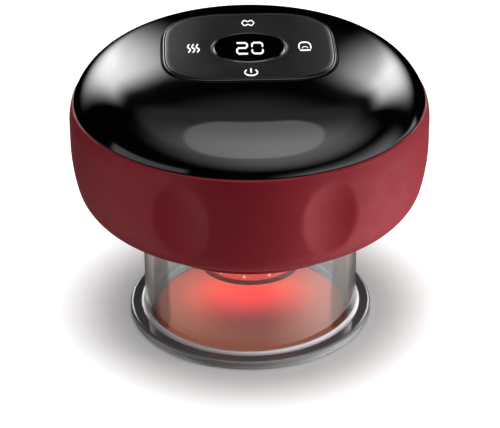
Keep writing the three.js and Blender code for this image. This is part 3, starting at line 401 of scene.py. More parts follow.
def squircle(margin, height):
    """The touch panel's outline, grown by margin, with rounder corners at the front than at the back."""
    width = PANEL["half_width"] + margin
    depth = PANEL["half_depth"] + margin
    points = []
    for x, y, _ in ring(1, 0):
        share = (1 + y) / 2
        power = PANEL["front_power"] + (PANEL["back_power"] - PANEL["front_power"]) * share
        reach = (abs(x / width) ** power + abs(y / depth) ** power) ** (-1 / power)
        points.append((x * reach, y * reach + PANEL["middle"], height))
    return points


def blend_rings(inner, outer, steps):
    """The rings of a band that goes from the inner ring to the outer one, without the first."""
    shares = [i / steps for i in range(1, steps + 1)]
    return [[tuple(a + (b - a) * s for a, b in zip(p, q)) for p, q in zip(inner, outer)] for s in shares]


def pill(margin, low, high):
    """A closed prism along Y with round ends, centred on the charging socket."""
    radius = SOCKET["thickness"] / 2 + margin
    reach = (SOCKET["width"] - SOCKET["thickness"]) / 2
    outline = arc(reach, 0, radius, -90, 90, 12) + arc(-reach, 0, radius, 90, 270, 12)
    return [[(x, y, SOCKET["height"] + z) for x, z in outline] for y in (low, high)]


# Meshes


def add_object(name, data):
    thing = bpy.data.objects.new(name, data)
    bpy.context.scene.collection.objects.link(thing)
    return thing


def smooth(data, sharp):
    """Shades a mesh smoothly, apart from edges sharper than that many degrees."""
    data.polygons.foreach_set("use_smooth", [True] * len(data.polygons))
    data.set_sharp_from_angle(angle=math.radians(sharp))


def finish_mesh(name, vertices, faces, sharp=40):
    data = bpy.data.meshes.new(name)
    data.from_pydata(vertices, [], faces)
    shape = bmesh.new()
    shape.from_mesh(data)
    bmesh.ops.recalc_face_normals(shape, faces=shape.faces)
    shape.to_mesh(data)
    shape.free()
    smooth(data, sharp)
    return add_object(name, data)


def mesh(name, rings, loop=False, sharp=40):
    """A surface through rings of points in millimetres.

    A ring of one point closes an end, and loop joins the last ring to the first.
    """
    vertices = [Vector(p) * MM for one in rings for p in one]
    starts = [sum(len(r) for r in rings[:i]) for i in range(len(rings))]
    faces = []
    pairs = list(zip(range(len(rings) - 1), range(1, len(rings))))
    if loop:
        pairs.append((len(rings) - 1, 0))
    for a, b in pairs:
        count = max(len(rings[a]), len(rings[b]))
        for i in range(count):
            j = (i + 1) % count
            low = [starts[a] + (k if len(rings[a]) > 1 else 0) for k in (i, j)]
            high = [starts[b] + (k if len(rings[b]) > 1 else 0) for k in (j, i)]
            faces.append(list(dict.fromkeys(low + high)))
    return finish_mesh(name, vertices, faces, sharp)


def turned(name, profile, sides, sharp=40):
    """A closed profile of (radius, height) points turned about Z."""
    return mesh(name, [ring(r, z, sides) for r, z in profile], loop=True, sharp=sharp)


def turned_solid(name, profile, sides):
    """A profile whose first and last points lie on the axis, turned about Z."""
    return mesh(name, [[(0, 0, z)] if r == 0 else ring(r, z, sides) for r, z in profile])


def capped(name, rings, sharp=40):
    """A prism or tube through rings, with a flat cap at each end."""
    middles = [tuple(sum(c) / len(r) for c in zip(*r)) for r in (rings[0], rings[-1])]
    return mesh(name, [[middles[0]], *rings, [middles[1]]], sharp=sharp)


def cut(piece, tool):
    """Cuts a closed tool out of a piece and removes the tool."""
    modifier = piece.modifiers.new("cut", "BOOLEAN")
    modifier.operation = "DIFFERENCE"
    modifier.solver = "EXACT"
    modifier.object = tool
    bpy.context.view_layer.update()
    graph = bpy.context.evaluated_depsgraph_get()
    data = bpy.data.meshes.new_from_object(piece.evaluated_get(graph))
    piece.modifiers.clear()
    piece.data = data
    bpy.data.objects.remove(tool)
    smooth(data, 40)


MATERIALS = {}


def dress(piece, material, *nodes, body="housing"):
    """Gives a piece its material, its body and the CAD nodes that it stands for."""
    piece.data.materials.clear()
    piece.data.materials.append(MATERIALS[material])
    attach(piece, body)
    if nodes:
        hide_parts(*nodes)


# Shader nodes


def feed(tree, value, socket):
    """Links a socket to another one, or gives it a plain value."""
    if isinstance(value, bpy.types.NodeSocket):
        tree.links.new(value, socket)
    else:
        socket.default_value = value


def add_node(tree, kind, **inputs):
    """A new node with its inputs fed. An input's name has _ for a space."""
    node = tree.nodes.new(kind)
    for name, value in inputs.items():
        feed(tree, value, node.inputs[name.replace("_", " ")])
    return node


def number(tree, operation, *values):
    """A Math node of up to three values, each a socket or a number."""
    node = tree.nodes.new("ShaderNodeMath")
    node.operation = operation
    for value, socket in zip(values, node.inputs):
        feed(tree, value, socket)
    return node.outputs[0]


def combined(tree, operation, values):
    """All the values multiplied or added."""
    total = values[0]
    for value in values[1:]:
        total = number(tree, operation, total, value)
    return total


def mixed(tree, factor, a, b, kind="RGBA"):
    """A colour, or a number where kind is FLOAT, between a and b."""
    mix = tree.nodes.new("ShaderNodeMix")
    mix.data_type = kind
    for name, value in (("Factor", factor), ("A", a), ("B", b)):
        feed(tree, value, mix.inputs[name])
    return mix.outputs["Result"]


def ramp(tree, value, start, end, top=1.0):
    """Rises smoothly from 0 at start to top at end."""
    node = add_node(tree, "ShaderNodeMapRange", Value=value, From_Min=start, From_Max=end, To_Max=top)
    node.interpolation_type = "SMOOTHSTEP"
    return node.outputs["Result"]


def coordinates(tree, space):
    """The X, Y and Z of a point in a space of the Texture Coordinate node."""
    point = add_node(tree, "ShaderNodeTexCoord").outputs[space]
    return list(add_node(tree, "ShaderNodeSeparateXYZ", Vector=point).outputs)


def hypotenuse(tree, x, y):
    squares = [number(tree, "MULTIPLY", value, value) for value in (x, y)]
    return number(tree, "SQRT", number(tree, "ADD", *squares))


def place_in_mm(tree):
    """The distance from the axis and the height of a point of the piece, in millimetres."""
    x, y, z = (number(tree, "DIVIDE", value, MM) for value in coordinates(tree, "Object"))
    return hypotenuse(tree, x, y), z


NOISE_MIDDLE = (0.3, 0.7)  # noise is mostly in this range


def object_noise(tree, size, detail=2.0, stretch=(1, 1, 1)):
    """Noise in the piece's own space whose features are about size millimetres across."""
    point = add_node(tree, "ShaderNodeTexCoord").outputs["Object"]
    scale = add_node(tree, "ShaderNodeMapping", Vector=point, Scale=[s / (size * MM) for s in stretch])
    noise = add_node(tree, "ShaderNodeTexNoise", Vector=scale.outputs["Vector"], Scale=1, Detail=detail)
    return noise.outputs["Fac"]


def spread(tree, noise, low, high):
    """Maps a noise's middle range to low..high."""
    start, end = NOISE_MIDDLE
    limits = {"From_Min": start, "From_Max": end, "To_Min": low, "To_Max": high}
    return add_node(tree, "ShaderNodeMapRange", Value=noise, **limits).outputs["Result"]


# Materials


def vary_colour(tree, shader, base, amount, size):
    """Mottles a colour by amount, up and down."""
    dark, pale = ((*[c * (1 + sign * amount) for c in base[:3]], 1) for sign in (-1, 1))
    spots = spread(tree, object_noise(tree, size), 0, 1)
    tree.links.new(mixed(tree, spots, dark, pale), shader.inputs["Base Color"])


def vary_roughness(tree, shader, low, high, size, stretch):
    noise = object_noise(tree, size, 3.0, stretch)
    tree.links.new(spread(tree, noise, low, high), shader.inputs["Roughness"])


def bump(tree, shader, size, depth, stretch):
    """Raises the surface by noise of that size and depth, in millimetres."""
    noise = object_noise(tree, size, stretch=stretch)
    node = add_node(tree, "ShaderNodeBump", Strength=1, Distance=depth * MM, Height=noise)
    tree.links.new(node.outputs["Normal"], shader.inputs["Normal"])


def surface(name, mottle=None, gloss=None, grain=None, stretch=(1, 1, 1), **values):
    """A new material, which MATERIALS keeps by its name. A value's name has _ for a space.

    mottle is how much its colour varies and at what size, gloss its least and greatest roughness and their
    size, and grain the size and depth of its bumps.
    """
    material = bpy.data.materials.new(name)
    material.use_nodes = True
    tree = material.node_tree
    shader = tree.nodes["Principled BSDF"]
    for key, value in values.items():
        shader.inputs[key.replace("_", " ")].default_value = value
    if mottle:
        vary_colour(tree, shader, values["Base_Color"], *mottle)
    if gloss:
        vary_roughness(tree, shader, *gloss, stretch)
    if grain:
        bump(tree, shader, *grain, stretch)
    MATERIALS[name] = material
    return tree, shader


def colour(red, green, blue):
    """Linear colour of an sRGB one given from 0 to 255."""
    linear = []
    for value in (red, green, blue):
        c = value / 255
        linear.append(c / 12.92 if c <= 0.04045 else ((c + 0.055) / 1.055) ** 2.4)
    return (*linear, 1)


MOULDED = {"mottle_size": 6, "gloss_size": 4, "gloss_shares": (0.9, 1.1)}
BRUSHED = {"mottle": (0.05, 2), "line": 0.3, "depth": 0.01, "gloss_shares": (0.7, 1.3)}
ALONG_X = (0.05, 1, 1)
ALONG_Y = (1, 0.05, 1)


def moulded(name, base, roughness, grain=0.25, depth=0.01, amount=0.06, **values):
    """Moulded plastic or rubber: slightly mottled, with a fine grain and uneven gloss."""
    mottle = (amount, MOULDED["mottle_size"])
    gloss = (*[roughness * share for share in MOULDED["gloss_shares"]], MOULDED["gloss_size"])
    surface(name, mottle, gloss, (grain, depth), Base_Color=base, Roughness=roughness, **values)


def brushed(name, base, roughness, stretch=ALONG_X):
    """Brushed metal, with its lines along one axis."""
    line = BRUSHED["line"]
    gloss = (*[roughness * share for share in BRUSHED["gloss_shares"]], line)
    values = {"Base_Color": base, "Roughness": roughness, "Metallic": 1}
    surface(name, BRUSHED["mottle"], gloss, (line, BRUSHED["depth"]), stretch, **values)


def glowing(name, base, mottle, light, strength, **values):
    """Plastic with a light of its own."""
    surface(name, mottle, Base_Color=base, Emission_Color=light, Emission_Strength=strength, **values)


def make_shell_materials():
    sheen = {"Sheen_Weight": 0.07, "Sheen_Roughness": 0.45, "Sheen_Tint": colour(235, 150, 158)}
    moulded("grip_red", colour(116, 16, 28), 0.5, 0.22, 0.006, 0.05, Specular_IOR_Level=0.28, **sheen)
    surface("cover_black", gloss=(0.06, 0.1, 9), Base_Color=(0.0012, 0.0012, 0.0013, 1), Roughness=0.08)


def make_panel_materials():
    satin = {"Base_Color": colour(26, 26, 27), "Roughness": 0.36, "Specular_IOR_Level": 0.07}
    surface("panel_dark", mottle=(0.05, 8), gloss=(0.33, 0.4, 5), grain=(0.12, 0.002), **satin)
    edge = {"Base_Color": (0.003, 0.003, 0.003, 1), "Roughness": 0.16, "Specular_IOR_Level": 0.25}
    surface("panel_edge", gloss=(0.13, 0.2, 3), **edge)
    surface("window_black", gloss=(0.04, 0.06, 6), Base_Color=(0.0015, 0.0015, 0.0017, 1), Roughness=0.05)
    glowing("lit_mark", (0.8, 0.8, 0.8, 1), (0.03, 1), (1, 1, 1, 1), 0.85, Roughness=0.4)


def make_glass():
    """Clear glass with a darker grey inside the mouth, painted shade at the tube's sides and over the flange,
    and painted highlights on the flange's lower outer edge and in a ring where the tube meets it.
    """
    clear = {"Base_Color": GLASS_TINTS["clear"], "Roughness": 0.02, "IOR": 1.49, "Transmission_Weight": 1.0}
    tree, shader = surface("cup_clear", gloss=(0.01, 0.04, 12), **clear)
    away, height = place_in_mm(tree)
    tube, top = CUP["outer"], CUP["flange_thickness"]
    flat = tube + CUP["fillet"]
    facing = add_node(tree, "ShaderNodeLayerWeight", Blend=0.5).outputs["Facing"]

    def edge(value, start, name):
        return ramp(tree, value, *[start + offset for offset in GLASS_EDGES[name]])

    def product(*values):
        return combined(tree, "MULTIPLY", values)

    # painted shade over the flange
    flange_shade = edge(away, flat, "flange_shade_out")
    # painted highlight ring over the fillet
    over_fillet = product(edge(away, tube, "highlight_ring_out"), edge(away, flat, "highlight_ring_in"))
    highlight_ring = product(over_fillet, edge(height, top, "highlight_ring_up"))
    clouds = spread(tree, object_noise(tree, CLOUD["size"]), *CLOUD["shares"])
    tint = GLASS_TINTS["clear"]
    for name, amount in {
        # side and flange shade are painted shade, rim and highlight ring are painted highlights
        "side": product(edge(facing, 0, "side_shade_facing"), edge(height, 0, "side_shade_up")),
        "flange_shade": flange_shade,
        "mouth": product(edge(away, tube, "mouth_in"), edge(height, 0, "mouth_down")),
        # painted highlight on the flange's lower outer edge
        "rim": product(edge(away, CUP["flange"], "rim_highlight_out"), edge(height, 0, "rim_highlight_down")),
        "highlight_ring": product(highlight_ring, clouds),
    }.items():
        tint = mixed(tree, amount, tint, GLASS_TINTS[name])
    tree.links.new(tint, shader.inputs["Base Color"])

    # the painted highlight ring and the painted flange shade let less light through
    stopped = [product(highlight_ring, SOLID_SHARES["highlight_ring"]), product(flange_shade, SOLID_SHARES["flange_shade"])]
    solid = combined(tree, "ADD", stopped)
    tree.links.new(number(tree, "SUBTRACT", 1.0, solid), shader.inputs["Transmission Weight"])
    absorb = add_node(tree, "ShaderNodeVolumeAbsorption", Color=GLASS_TINTS["inside"], Density=GLASS_DENSITY)
    tree.links.new(absorb.outputs["Volume"], tree.nodes["Material Output"].inputs["Volume"])


def make_head_materials():
    # the black head is given a dark red: a painted glow of the red lamps on it
    moulded("head_black", colour(118, 12, 10), 0.35, grain=0.3, depth=0.004, Specular_IOR_Level=0.1)
    lens = {"Roughness": 0.2, "Coat_Weight": 0.5}
    glowing("lamp_red", colour(200, 30, 24), (0.15, 3), (1.0, 0.07, 0.04, 1), 0.6, **lens)
    glowing("lamp_tip", (0.9, 0.5, 0.45, 1), (0.03, 1), (1.0, 0.32, 0.26, 1), 1.0, Roughness=0.2)
    moulded("lamp_board", colour(236, 232, 224), 0.45)
    brushed("heat_plate", (0.6, 0.6, 0.6, 1), 0.35)
    moulded("heater_film", colour(185, 116, 31), 0.4)


def make_inner_materials():
    moulded("black_plastic", colour(26, 26, 27), 0.45)
    moulded("white_plastic", colour(224, 222, 212), 0.45)
    moulded("silicone", colour(200, 200, 194), 0.55, Subsurface_Weight=0.1)
    moulded("foam", colour(40, 40, 42), 0.95, grain=0.5, depth=0.2, amount=0.3)
    moulded("board_green", colour(28, 90, 56), 0.4, grain=0.8)
    moulded("cell_blue", colour(44, 95, 143), 0.3)
    moulded("lead_white", colour(224, 222, 212), 0.5)
    moulded("lead_red", colour(176, 26, 26), 0.5)
    brushed("steel", (0.55, 0.55, 0.54, 1), 0.3)
    brushed("socket_steel", (0.6, 0.6, 0.6, 1), 0.28, ALONG_Y)
    brushed("copper", (0.62, 0.26, 0.11, 1), 0.35)


def dress_cad_nodes():
    """Gives each CAD node the procedural material of its slot in the record."""
    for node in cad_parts.values():
        for holder in node.material_slots:
            holder.material = MATERIALS[holder.material.name.split(".")[0]]


# The grip shell


def dimple_depth(angle, height):
    """How far a dimple sinks the shell at a place, with a soft rim."""
    depth = 0.0
    for centre in DIMPLE["angles"]:
        turn = (angle - centre + 180) % 360 - 180
        if abs(turn) <= DIMPLE["reach"]:
            across = FORM["radius"] * math.sin(math.radians(turn)) / DIMPLE["half_width"]
            along = (height - DIMPLE["height"]) / DIMPLE["half_height"]
            inside = 1 - across**2 - along**2
            depth += DIMPLE["depth"] * (inside + math.sqrt(inside**2 + DIMPLE["softness"] ** 2)) / 2
    return depth


def dimpled(points):
    """Sinks the dimples into a ring of the outer wall."""
    sunk = []
    for x, y, z in points:
        share = 1 - dimple_depth(math.degrees(math.atan2(x, -y)), z) / math.hypot(x, y)
        sunk.append((x * share, y * share, z))
    return sunk


def shell_outside():
    """The outline from the collar's foot up to the lip, as (radius, height)."""
    collar, bottom = SHELL["collar_outer"], FORM["bottom"]
    foot, step = SHELL["collar_round"], SHELL["collar_step"]
    rise = SHELL["split"] - SHELL["lip_round"] - SIDE[1]
    upper = [SIDE[1] + rise * i / ARC_STEPS for i in range(1, ARC_STEPS + 1)]
    return [
        *arc(collar - foot, SHELL["collar_bottom"] + foot, foot, -90, 0, 6),
        *[(collar + out, SHELL["groove_height"] + up) for out, up in SHELL["groove"]],
        (collar, bottom + step),
        *[(collar + step * out, bottom + step * up) for out, up in SHELL["step_shares"]],
        *arc(*CORNER, FORM["corner"], -90, CORNER_TURN, 20),
        *arc(*SIDE, FORM["side"], CORNER_TURN, 0, 28)[1:],
        *[(form_radius(z), z) for z in upper],
    ]


def shell_inside():
    """The rest of the outline, over the lip and down the inner side to the collar's foot."""
    split, wall, lip = SHELL["split"], SHELL["wall"], SHELL["lip_round"]
    inner, outer, foot = SHELL["collar_inner"], SHELL["collar_outer"], SHELL["collar_round"]
    edge = form_radius(split - lip)
    floor = FORM["bottom"] + wall
    return [
        *arc(edge - lip, split - lip, lip, 5, 90, 6),
        (form_radius(split, wall), split),
        *[(form_radius(z, wall), z) for z in SHELL["inside_heights"]],
        (CORNER[0], floor),
        (outer, floor),
        (outer, CUP["top"]),
        (inner, CUP["top"]),
        (inner, SHELL["collar_bottom"] + foot),
        (inner + foot / 2, SHELL["collar_bottom"]),
    ]


def make_grip_shell():
    rings = [dimpled(ring(r, z, 2 * SIDES)) for r, z in shell_outside()]
    rings += [ring(r, z, 2 * SIDES) for r, z in shell_inside()]
    shell = mesh("grip_shell_skin", rings, loop=True)
    back, wall = form_radius(SOCKET["height"]), SHELL["wall"]
    cut(shell, capped("tunnel", pill(SOCKET["clearance"], back - 2 * wall, back + wall)))
    dress(shell, "grip_red", "grip_shell")


# The glossy cover


def on_line(points, line):
    return [(x, y, line_height(line, math.hypot(x, y))) for x, y, _ in points]


def make_cover():
    """The dome from its foot to the recess for the panel, the recess and the inner side."""
    split, foot_round = SHELL["split"], COVER["edge_round"]
    line = cover_line(SHELL["lip_inset"])
    upright = [(r, z) for r, z in line if z > split + foot_round]
    foot = arc(upright[-1][0] - foot_round, split + foot_round, foot_round, -90, 0, 4)
    shoulder = [point for point in upright[:-3:4] if point[0] > COVER["shoulder_start"]]
    shoulder.reverse()
    hole = squircle(COVER["recess_gap"] + COVER["recess_round"], 0)
    rings = [ring(r, z) for r, z in foot + shoulder]
    rings += [on_line(points, line) for points in blend_rings(ring(*shoulder[-1]), hole, COVER["dome_rings"])]
    rings += recess_rings(line) + cover_inside(foot[0][0])
    dress(mesh("top_cover_skin", rings), "cover_black", "top_cover")


def recess_rings(line):
    """Rings over the rounded edge of the panel's recess, down its wall and in to the middle of its floor."""
    gap, rounding, floor = COVER["recess_gap"], COVER["recess_round"], PANEL["floor"]
    rings = []
    for margin, up in arc(gap + rounding, -rounding, rounding, 90, 180, 3)[1:]:
        edge = on_line(squircle(margin, 0), line)
        rings.append([(x, y, max(z + up, floor + rounding / 4)) for x, y, z in edge])
    return [*rings, squircle(gap, floor), [(0, PANEL["middle"], floor)]]


def cover_inside(foot_radius):
    """Rings of the cover's inner side, from its middle to the skirt and back to the foot."""
    split = SHELL["split"]
    inset = SHELL["lip_inset"] + SHELL["wall"]
    under = PANEL["floor"] - PANEL["floor_thickness"]
    start = math.sqrt((FORM["crown"] - inset) ** 2 - (under - CROWN[1]) ** 2)
    skirt = form_radius(split, SHELL["wall"]) - COVER["skirt_clearance"]
    skirt_bottom = split - COVER["skirt_depth"]
    thin = skirt - COVER["skirt_wall"]
    profile = [(start, under)]
    profile += [(radius, shoulder_height(radius, inset)) for radius in (*COVER["inside_radii"], thin)]
    profile += [(thin, skirt_bottom), (skirt, skirt_bottom), (skirt, split), (foot_radius, split)]
    return [[(0, 0, under)], *[ring(r, z) for r, z in profile]]


# The touch panel and the display


def panel_drop(x, y):
    """How far the panel's rolled edge lies below its flat face; it rolls less at the back."""
    away = math.hypot(x, y if y < 0 else y * PANEL["back_share"])
    return PANEL["roll"] * max(away - PANEL["roll_start"], 0) ** PANEL["roll_power"]


def rolled(points):
    return [(x, y, z - panel_drop(x, y)) for x, y, z in points]


def make_panel():
    """The panel with a rolled edge, a fine groove near it, and the opening for the display."""
    top, low, bevel = PANEL["top"], PANEL["bottom"], PANEL["bevel"]
    opening, groove = DISPLAY["opening"], PANEL["groove"]
    rings = [display_ring(opening, low)]
    rings += [display_ring(opening + out, top + up) for out, up in DISPLAY["lip"]]
    face_start = len(rings) - 1
    rings += blend_rings(rings[-1], squircle(-groove[0][0], top), PANEL["face_rings"])
    face_end = len(rings) - 1
    rings += [squircle(-inset, top + up) for inset, up in groove[1:]]
    rings += [squircle(margin, z) for margin, z in arc(-bevel, top - bevel, bevel, 90, 0, 6)]
    rings = [rolled(points) for points in rings]
    rings += [squircle(0, low + bevel / 4), squircle(-bevel, low)]
    panel = mesh("touch_panel_plate", rings, loop=True, sharp=50)
    dress(panel, "panel_dark", "touch_panel")
    for name in ("panel_edge", "cover_black"):
        panel.data.materials.append(MATERIALS[name])
    for face in panel.data.polygons:
        row = face.index // SIDES
        if row < face_start:
            face.material_index = 2
        elif row >= face_end:
            face.material_index = 1


def make_window():
    """The display's black lens, nearly flush with the panel, with a sloping rim."""
    low, top, middle = DISPLAY["bottom"], DISPLAY["top"], -DISPLAY["forward"]
    wide, deep = DISPLAY["slope"]
    rim = [(DISPLAY["window"] - wide * across, top - deep * down) for across, down in DISPLAY["slope_shares"]]
    rings = [display_ring(r, z) for r, z in [(DISPLAY["window"], low), *rim]]
    window = mesh("display_lens", [[(0, middle, low)], *rings, [(0, middle, top)]])
    dress(window, "window_black", "display_window")


# Lit marks and digits


def rounded(points, steps):
    """A smooth line through the points (Catmull-Rom)."""
    points = [Vector(p) for p in points]
    ends = [points[0], *points, points[-1]]
    line = []
    for p0, p1, p2, p3 in zip(ends, ends[1:], ends[2:], ends[3:]):
        for k in range(steps):
            t = k / steps
            square = (2 * p0 - 5 * p1 + 4 * p2 - p3) * t**2
            cube = (3 * p1 - p0 - 3 * p2 + p3) * t**3
            line.append(0.5 * (2 * p1 + (p2 - p0) * t + square + cube))
    return [*line, points[-1]]


def rounded_strokes(lines, width):
    return [(rounded(points, 6), width, False) for points in lines]


def stroke_edges(line, width, closed):
    """The two edges of a stroke of that width along a line."""
    count = len(line)
    left, right = [], []
    for i, p in enumerate(line):
        before = [line[i - 1]] if i or closed else []
        after = [line[(i + 1) % count]] if i < count - 1 or closed else []
        ways = [(p - q).normalized() for q in before] + [(q - p).normalized() for q in after]
        way = sum(ways, Vector((0, 0))).normalized()
        side = Vector((-way.y, way.x))
        miter = side.dot(Vector((-ways[0].y, ways[0].x)))
        side = side * (width / 2) / max(miter, MARK["least_miter"])
        left.append(p + side)
        right.append(p - side)
    return left, right


def stroke_tip(end, before, width):
    """Points round the end of a stroke."""
    way = (end - before).normalized()
    side = Vector((-way.y, way.x))
    return [end - side * across + way * along for across, along in arc(0, 0, width / 2, 30, 150, 4)]


def mark(name, strokes, centre, height):
    """A flat mark of strokes, each (line, width, closed), round a centre on a surface at that height."""
    shape = bmesh.new()

    def corners(points):
        made = []
        for p in points:
            x, y = centre[0] + p.x, centre[1] + p.y * MARK["stretch"]
            y += panel_drop(x, y) * MARK["lean"]
            made.append(shape.verts.new(Vector((x, y, height - panel_drop(x, y))) * MM))
        return made

    for line, width, closed in strokes:
        lefts, rights = (corners(edge) for edge in stroke_edges(line, width, closed))
        count = len(line)
        for i in range(count if closed else count - 1):
            j = (i + 1) % count
            shape.faces.new((lefts[i], rights[i], rights[j], lefts[j]))
        if not closed:
            start = corners(stroke_tip(line[0], line[1], width))
            shape.faces.new((lefts[0], *start, rights[0]))
            end = corners(stroke_tip(line[-1], line[-2], width))
            shape.faces.new((rights[-1], *end, lefts[-1]))
    flat = list(shape.faces)
    bmesh.ops.recalc_face_normals(shape, faces=flat)
    raised = bmesh.ops.extrude_face_region(shape, geom=flat)
    tops = [g for g in raised["geom"] if isinstance(g, bmesh.types.BMVert)]
    bmesh.ops.translate(shape, verts=tops, vec=(0, 0, MARK["height"] * MM))
    bmesh.ops.recalc_face_normals(shape, faces=shape.faces)
    data = bpy.data.meshes.new(name)
    shape.to_mesh(data)
    shape.free()
    dress(add_object(name, data), "lit_mark")


def heat_strokes():
    """Three wavy lines."""
    pitch = 1.09
    wave = [(0.04, 0.94), (-0.33, 0.3), (0.36, -0.34), (-0.07, -0.96)]
    return rounded_strokes([[(x + i * pitch, y) for x, y in wave] for i in (-1, 0, 1)], MARK["stroke"])


def suction_strokes():
    """A cup over a line, with a low arch inside."""
    half_arch = [(1.48, -0.6), (1.52, -0.15), (1.38, 0.42), (1.0, 0.8), (0.45, 0.93)]
    arch = [(-x, y) for x, y in half_arch] + half_arch[::-1]
    base = [(-1.22, -1.04), (1.22, -1.04)]
    hump = [(-0.75, -0.5), (-0.35, -0.2), (0.35, -0.2), (0.75, -0.5)]
    return rounded_strokes([arch, base], MARK["stroke"]) + rounded_strokes([hump], MARK["thin"])


def mode_strokes():
    """A loop with a waist, drawn from its upper right quarter."""
    quarter = [(0.12, 0.38), (0.72, 0.66), (1.0, 0.64), (1.48, 0.16), (1.56, 0)]
    half = quarter + [(x, -y) for x, y in quarter[-2::-1]]
    loop = [Vector(p) for p in half + [(-x, -y) for x, y in half]]
    return [(loop, MARK["loop"], True)]


def power_strokes():
    """An open ring with a line in its gap."""
    half_width, half_height = 1.56, 0.82
    turns = [math.radians(a) for a in range(140, 401, 26)]
    bowl = [(half_width * math.cos(a), half_height * math.sin(a)) for a in turns]
    line = [(0, 0.84), (0, 0.04)]
    return [(rounded(bowl, 3), MARK["stroke"], False), (rounded(line, 4), MARK["bold"], False)]


def make_marks():
    makers = {"heat": heat_strokes, "suction": suction_strokes, "mode": mode_strokes, "power": power_strokes}
    for name, make_strokes in makers.items():
        mark(f"mark_{name}", make_strokes(), MARK_PLACES[name], PANEL["top"])


def make_digits():
    """A 2 and a 0 drawn as lit segments."""
    two_shares = [(0.15, 0.91), (0.76, 0.91), (0.9, 0.8), (0.9, 0.64), (0.76, 0.52)]
    two_shares += [(0.24, 0.52), (0.1, 0.4), (0.1, 0.2), (0.24, 0.09), (0.87, 0.09)]
    upper_shares = [(0.1, 0.64), (0.1, 0.8), (0.25, 0.91), (0.75, 0.91), (0.9, 0.8), (0.9, 0.64)]
    lower_shares = [(x, 1 - y) for x, y in upper_shares]
    size = DIGIT["size"]
    digits = (("digit_tens", [two_shares], -1), ("digit_ones", [upper_shares, lower_shares], 1))
    for name, lines, side in digits:
        shift = side * DIGIT["pitch"] / 2
        lines = [[Vector(((x - 0.5) * size + shift, (y - 0.5) * size)) for x, y in line] for line in lines]
        strokes = [(line, DIGIT["stroke"], False) for line in lines]
        mark(name, strokes, DIGIT["centre"], DISPLAY["top"])


# The cup


def make_cup():
    inner, outer, flange, top = CUP["inner"], CUP["outer"], CUP["flange"], CUP["top"]
    edge, fillet, mouth, thick = CUP["edge_round"], CUP["fillet"], CUP["mouth_round"], CUP["flange_thickness"]
    shares = CUP["wall_shares"]
    profile = [
        (inner, top - edge / 2),
        *[(inner, top * share) for share in shares],
        *arc(inner + mouth, mouth, mouth, 180, 270, 8),
        *arc(flange - edge, edge, edge, -90, 0, 8),
        *arc(flange - edge, thick - edge, edge, 0, 90, 8),
        *arc(outer + fillet, thick + fillet, fillet, 270, 180, 8),
        *[(outer, top * share) for share in reversed(shares)],
        (outer, top - edge / 2),
        (outer - edge / 2, top),
        (inner + edge / 2, top),
    ]
    dress(turned("cup_glass", profile, CUP["sides"], sharp=60), "cup_clear", "cup", body="suction_cup")


# The lamp head


def make_bezel():
    low, high, rounding = HEAD["bottom"], HEAD["ring_top"], HEAD["ring_round"]
    outer, bore = HEAD["ring_radius"], HEAD["ring_bore"]
    seat = HEAD["plate_radius"] + GAP
    profile = [
        *arc(bore + rounding, low + rounding, rounding, 180, 270, 4),
        *arc(outer - rounding, low + rounding, rounding, 270, 360, 4),
        *arc(outer - rounding, high - rounding, rounding, 0, 90, 4),
        (seat, high),
        (seat, HEAD["plate_bottom"]),
        (bore, HEAD["plate_bottom"]),
    ]
    dress(turned("head_bezel", profile, HEAD["sides"]), "head_black", "head_ring")


def make_plate():
    low, radius, rounding = HEAD["plate_bottom"], HEAD["plate_radius"], HEAD["plate_round"]
    edge = arc(radius - rounding, low + rounding, rounding, -90, 0, 3)
    profile = [(0, low), *edge, (radius, HEAD["ring_top"]), (0, HEAD["ring_top"])]
    dress(turned_solid("warm_plate", profile, HEAD["plate_sides"]), "heat_plate", "heat_plate")


def make_lens():
    low, high = HEAD["ring_top"], HEAD["lens_top"]
    inner, outer = HEAD["lens_inner"], HEAD["drum_radius"]
    profile = [(inner, low), (outer, low), (outer, high), (inner, high)]
    dress(turned("lamp_lens", profile, HEAD["sides"]), "lamp_red", "lamp_ring")


def make_lamp_tip(name, angle):
    """A low dome on the lens, where a lamp behind it shows."""
    radius, rise, face = TIP["radius"], TIP["rise"], HEAD["drum_radius"]
    root = face - radius / 2
    circles = [(radius, root)]
    for turn in (0, 30, 60):
        circles.append((radius * math.cos(math.radians(turn)), face + rise * math.sin(math.radians(turn))))
    rings = [[(out, x, y) for x, y, _ in ring(r, 0, TIP["sides"])] for r, out in circles]
    tip = mesh(name, [[(root, 0, 0)], *rings, [(face + rise, 0, 0)]])
    turn = Matrix.Rotation(math.radians(angle - 90), 4, "Z")
    tip.data.transform(Matrix.Translation((0, 0, TIP["height"] * MM)) @ turn)
    dress(tip, "lamp_tip")


def make_drum():
    low, high, lid = HEAD["lens_top"], HEAD["ceiling"], HEAD["drum_lid"]
    inner, outer = HEAD["drum_inner"], HEAD["drum_radius"]
    hole, under = inner / 2, high - lid
    profile = [(inner, low), (outer, low), (outer, high), (hole, high), (hole, under), (inner, under)]
    dress(turned("head_housing", profile, HEAD["sides"]), "head_black", "head_drum")


def make_head():
    make_bezel()
    make_plate()
    make_lens()
    for i in range(TIP["count"]):
        make_lamp_tip(f"lamp_tip_{i + 1}", TIP["turn"] + 360 * i / TIP["count"])
    make_drum()


# The charging socket at the back


def make_socket():
    mouth = form_radius(SOCKET["height"]) - SOCKET["sunk"]
    floor = mouth - SOCKET["mouth_depth"]
    edge, wall = SOCKET["edge_round"], SOCKET["wall"]
    can = pill(0, mouth - SOCKET["length"], mouth - edge)
    can += [pill(margin, y, y)[0] for margin, y in ((-edge, mouth), (-wall, mouth), (-wall, floor))]
    dress(capped("charge_socket_shell", can), "socket_steel", "charge_socket")
    width, half = SOCKET["tongue_width"] / 2, SOCKET["tongue_thickness"] / 2
    corners = [(-width, -half), (width, -half), (width, half), (-width, half)]
    ends = (floor + SOCKET["overlap"], mouth - SOCKET["tongue_sunk"])
    rings = [[(x, y, SOCKET["height"] + z) for x, z in corners] for y in ends]
    dress(capped("charge_socket_tongue", rings), "black_plastic")


# The release valve's spring


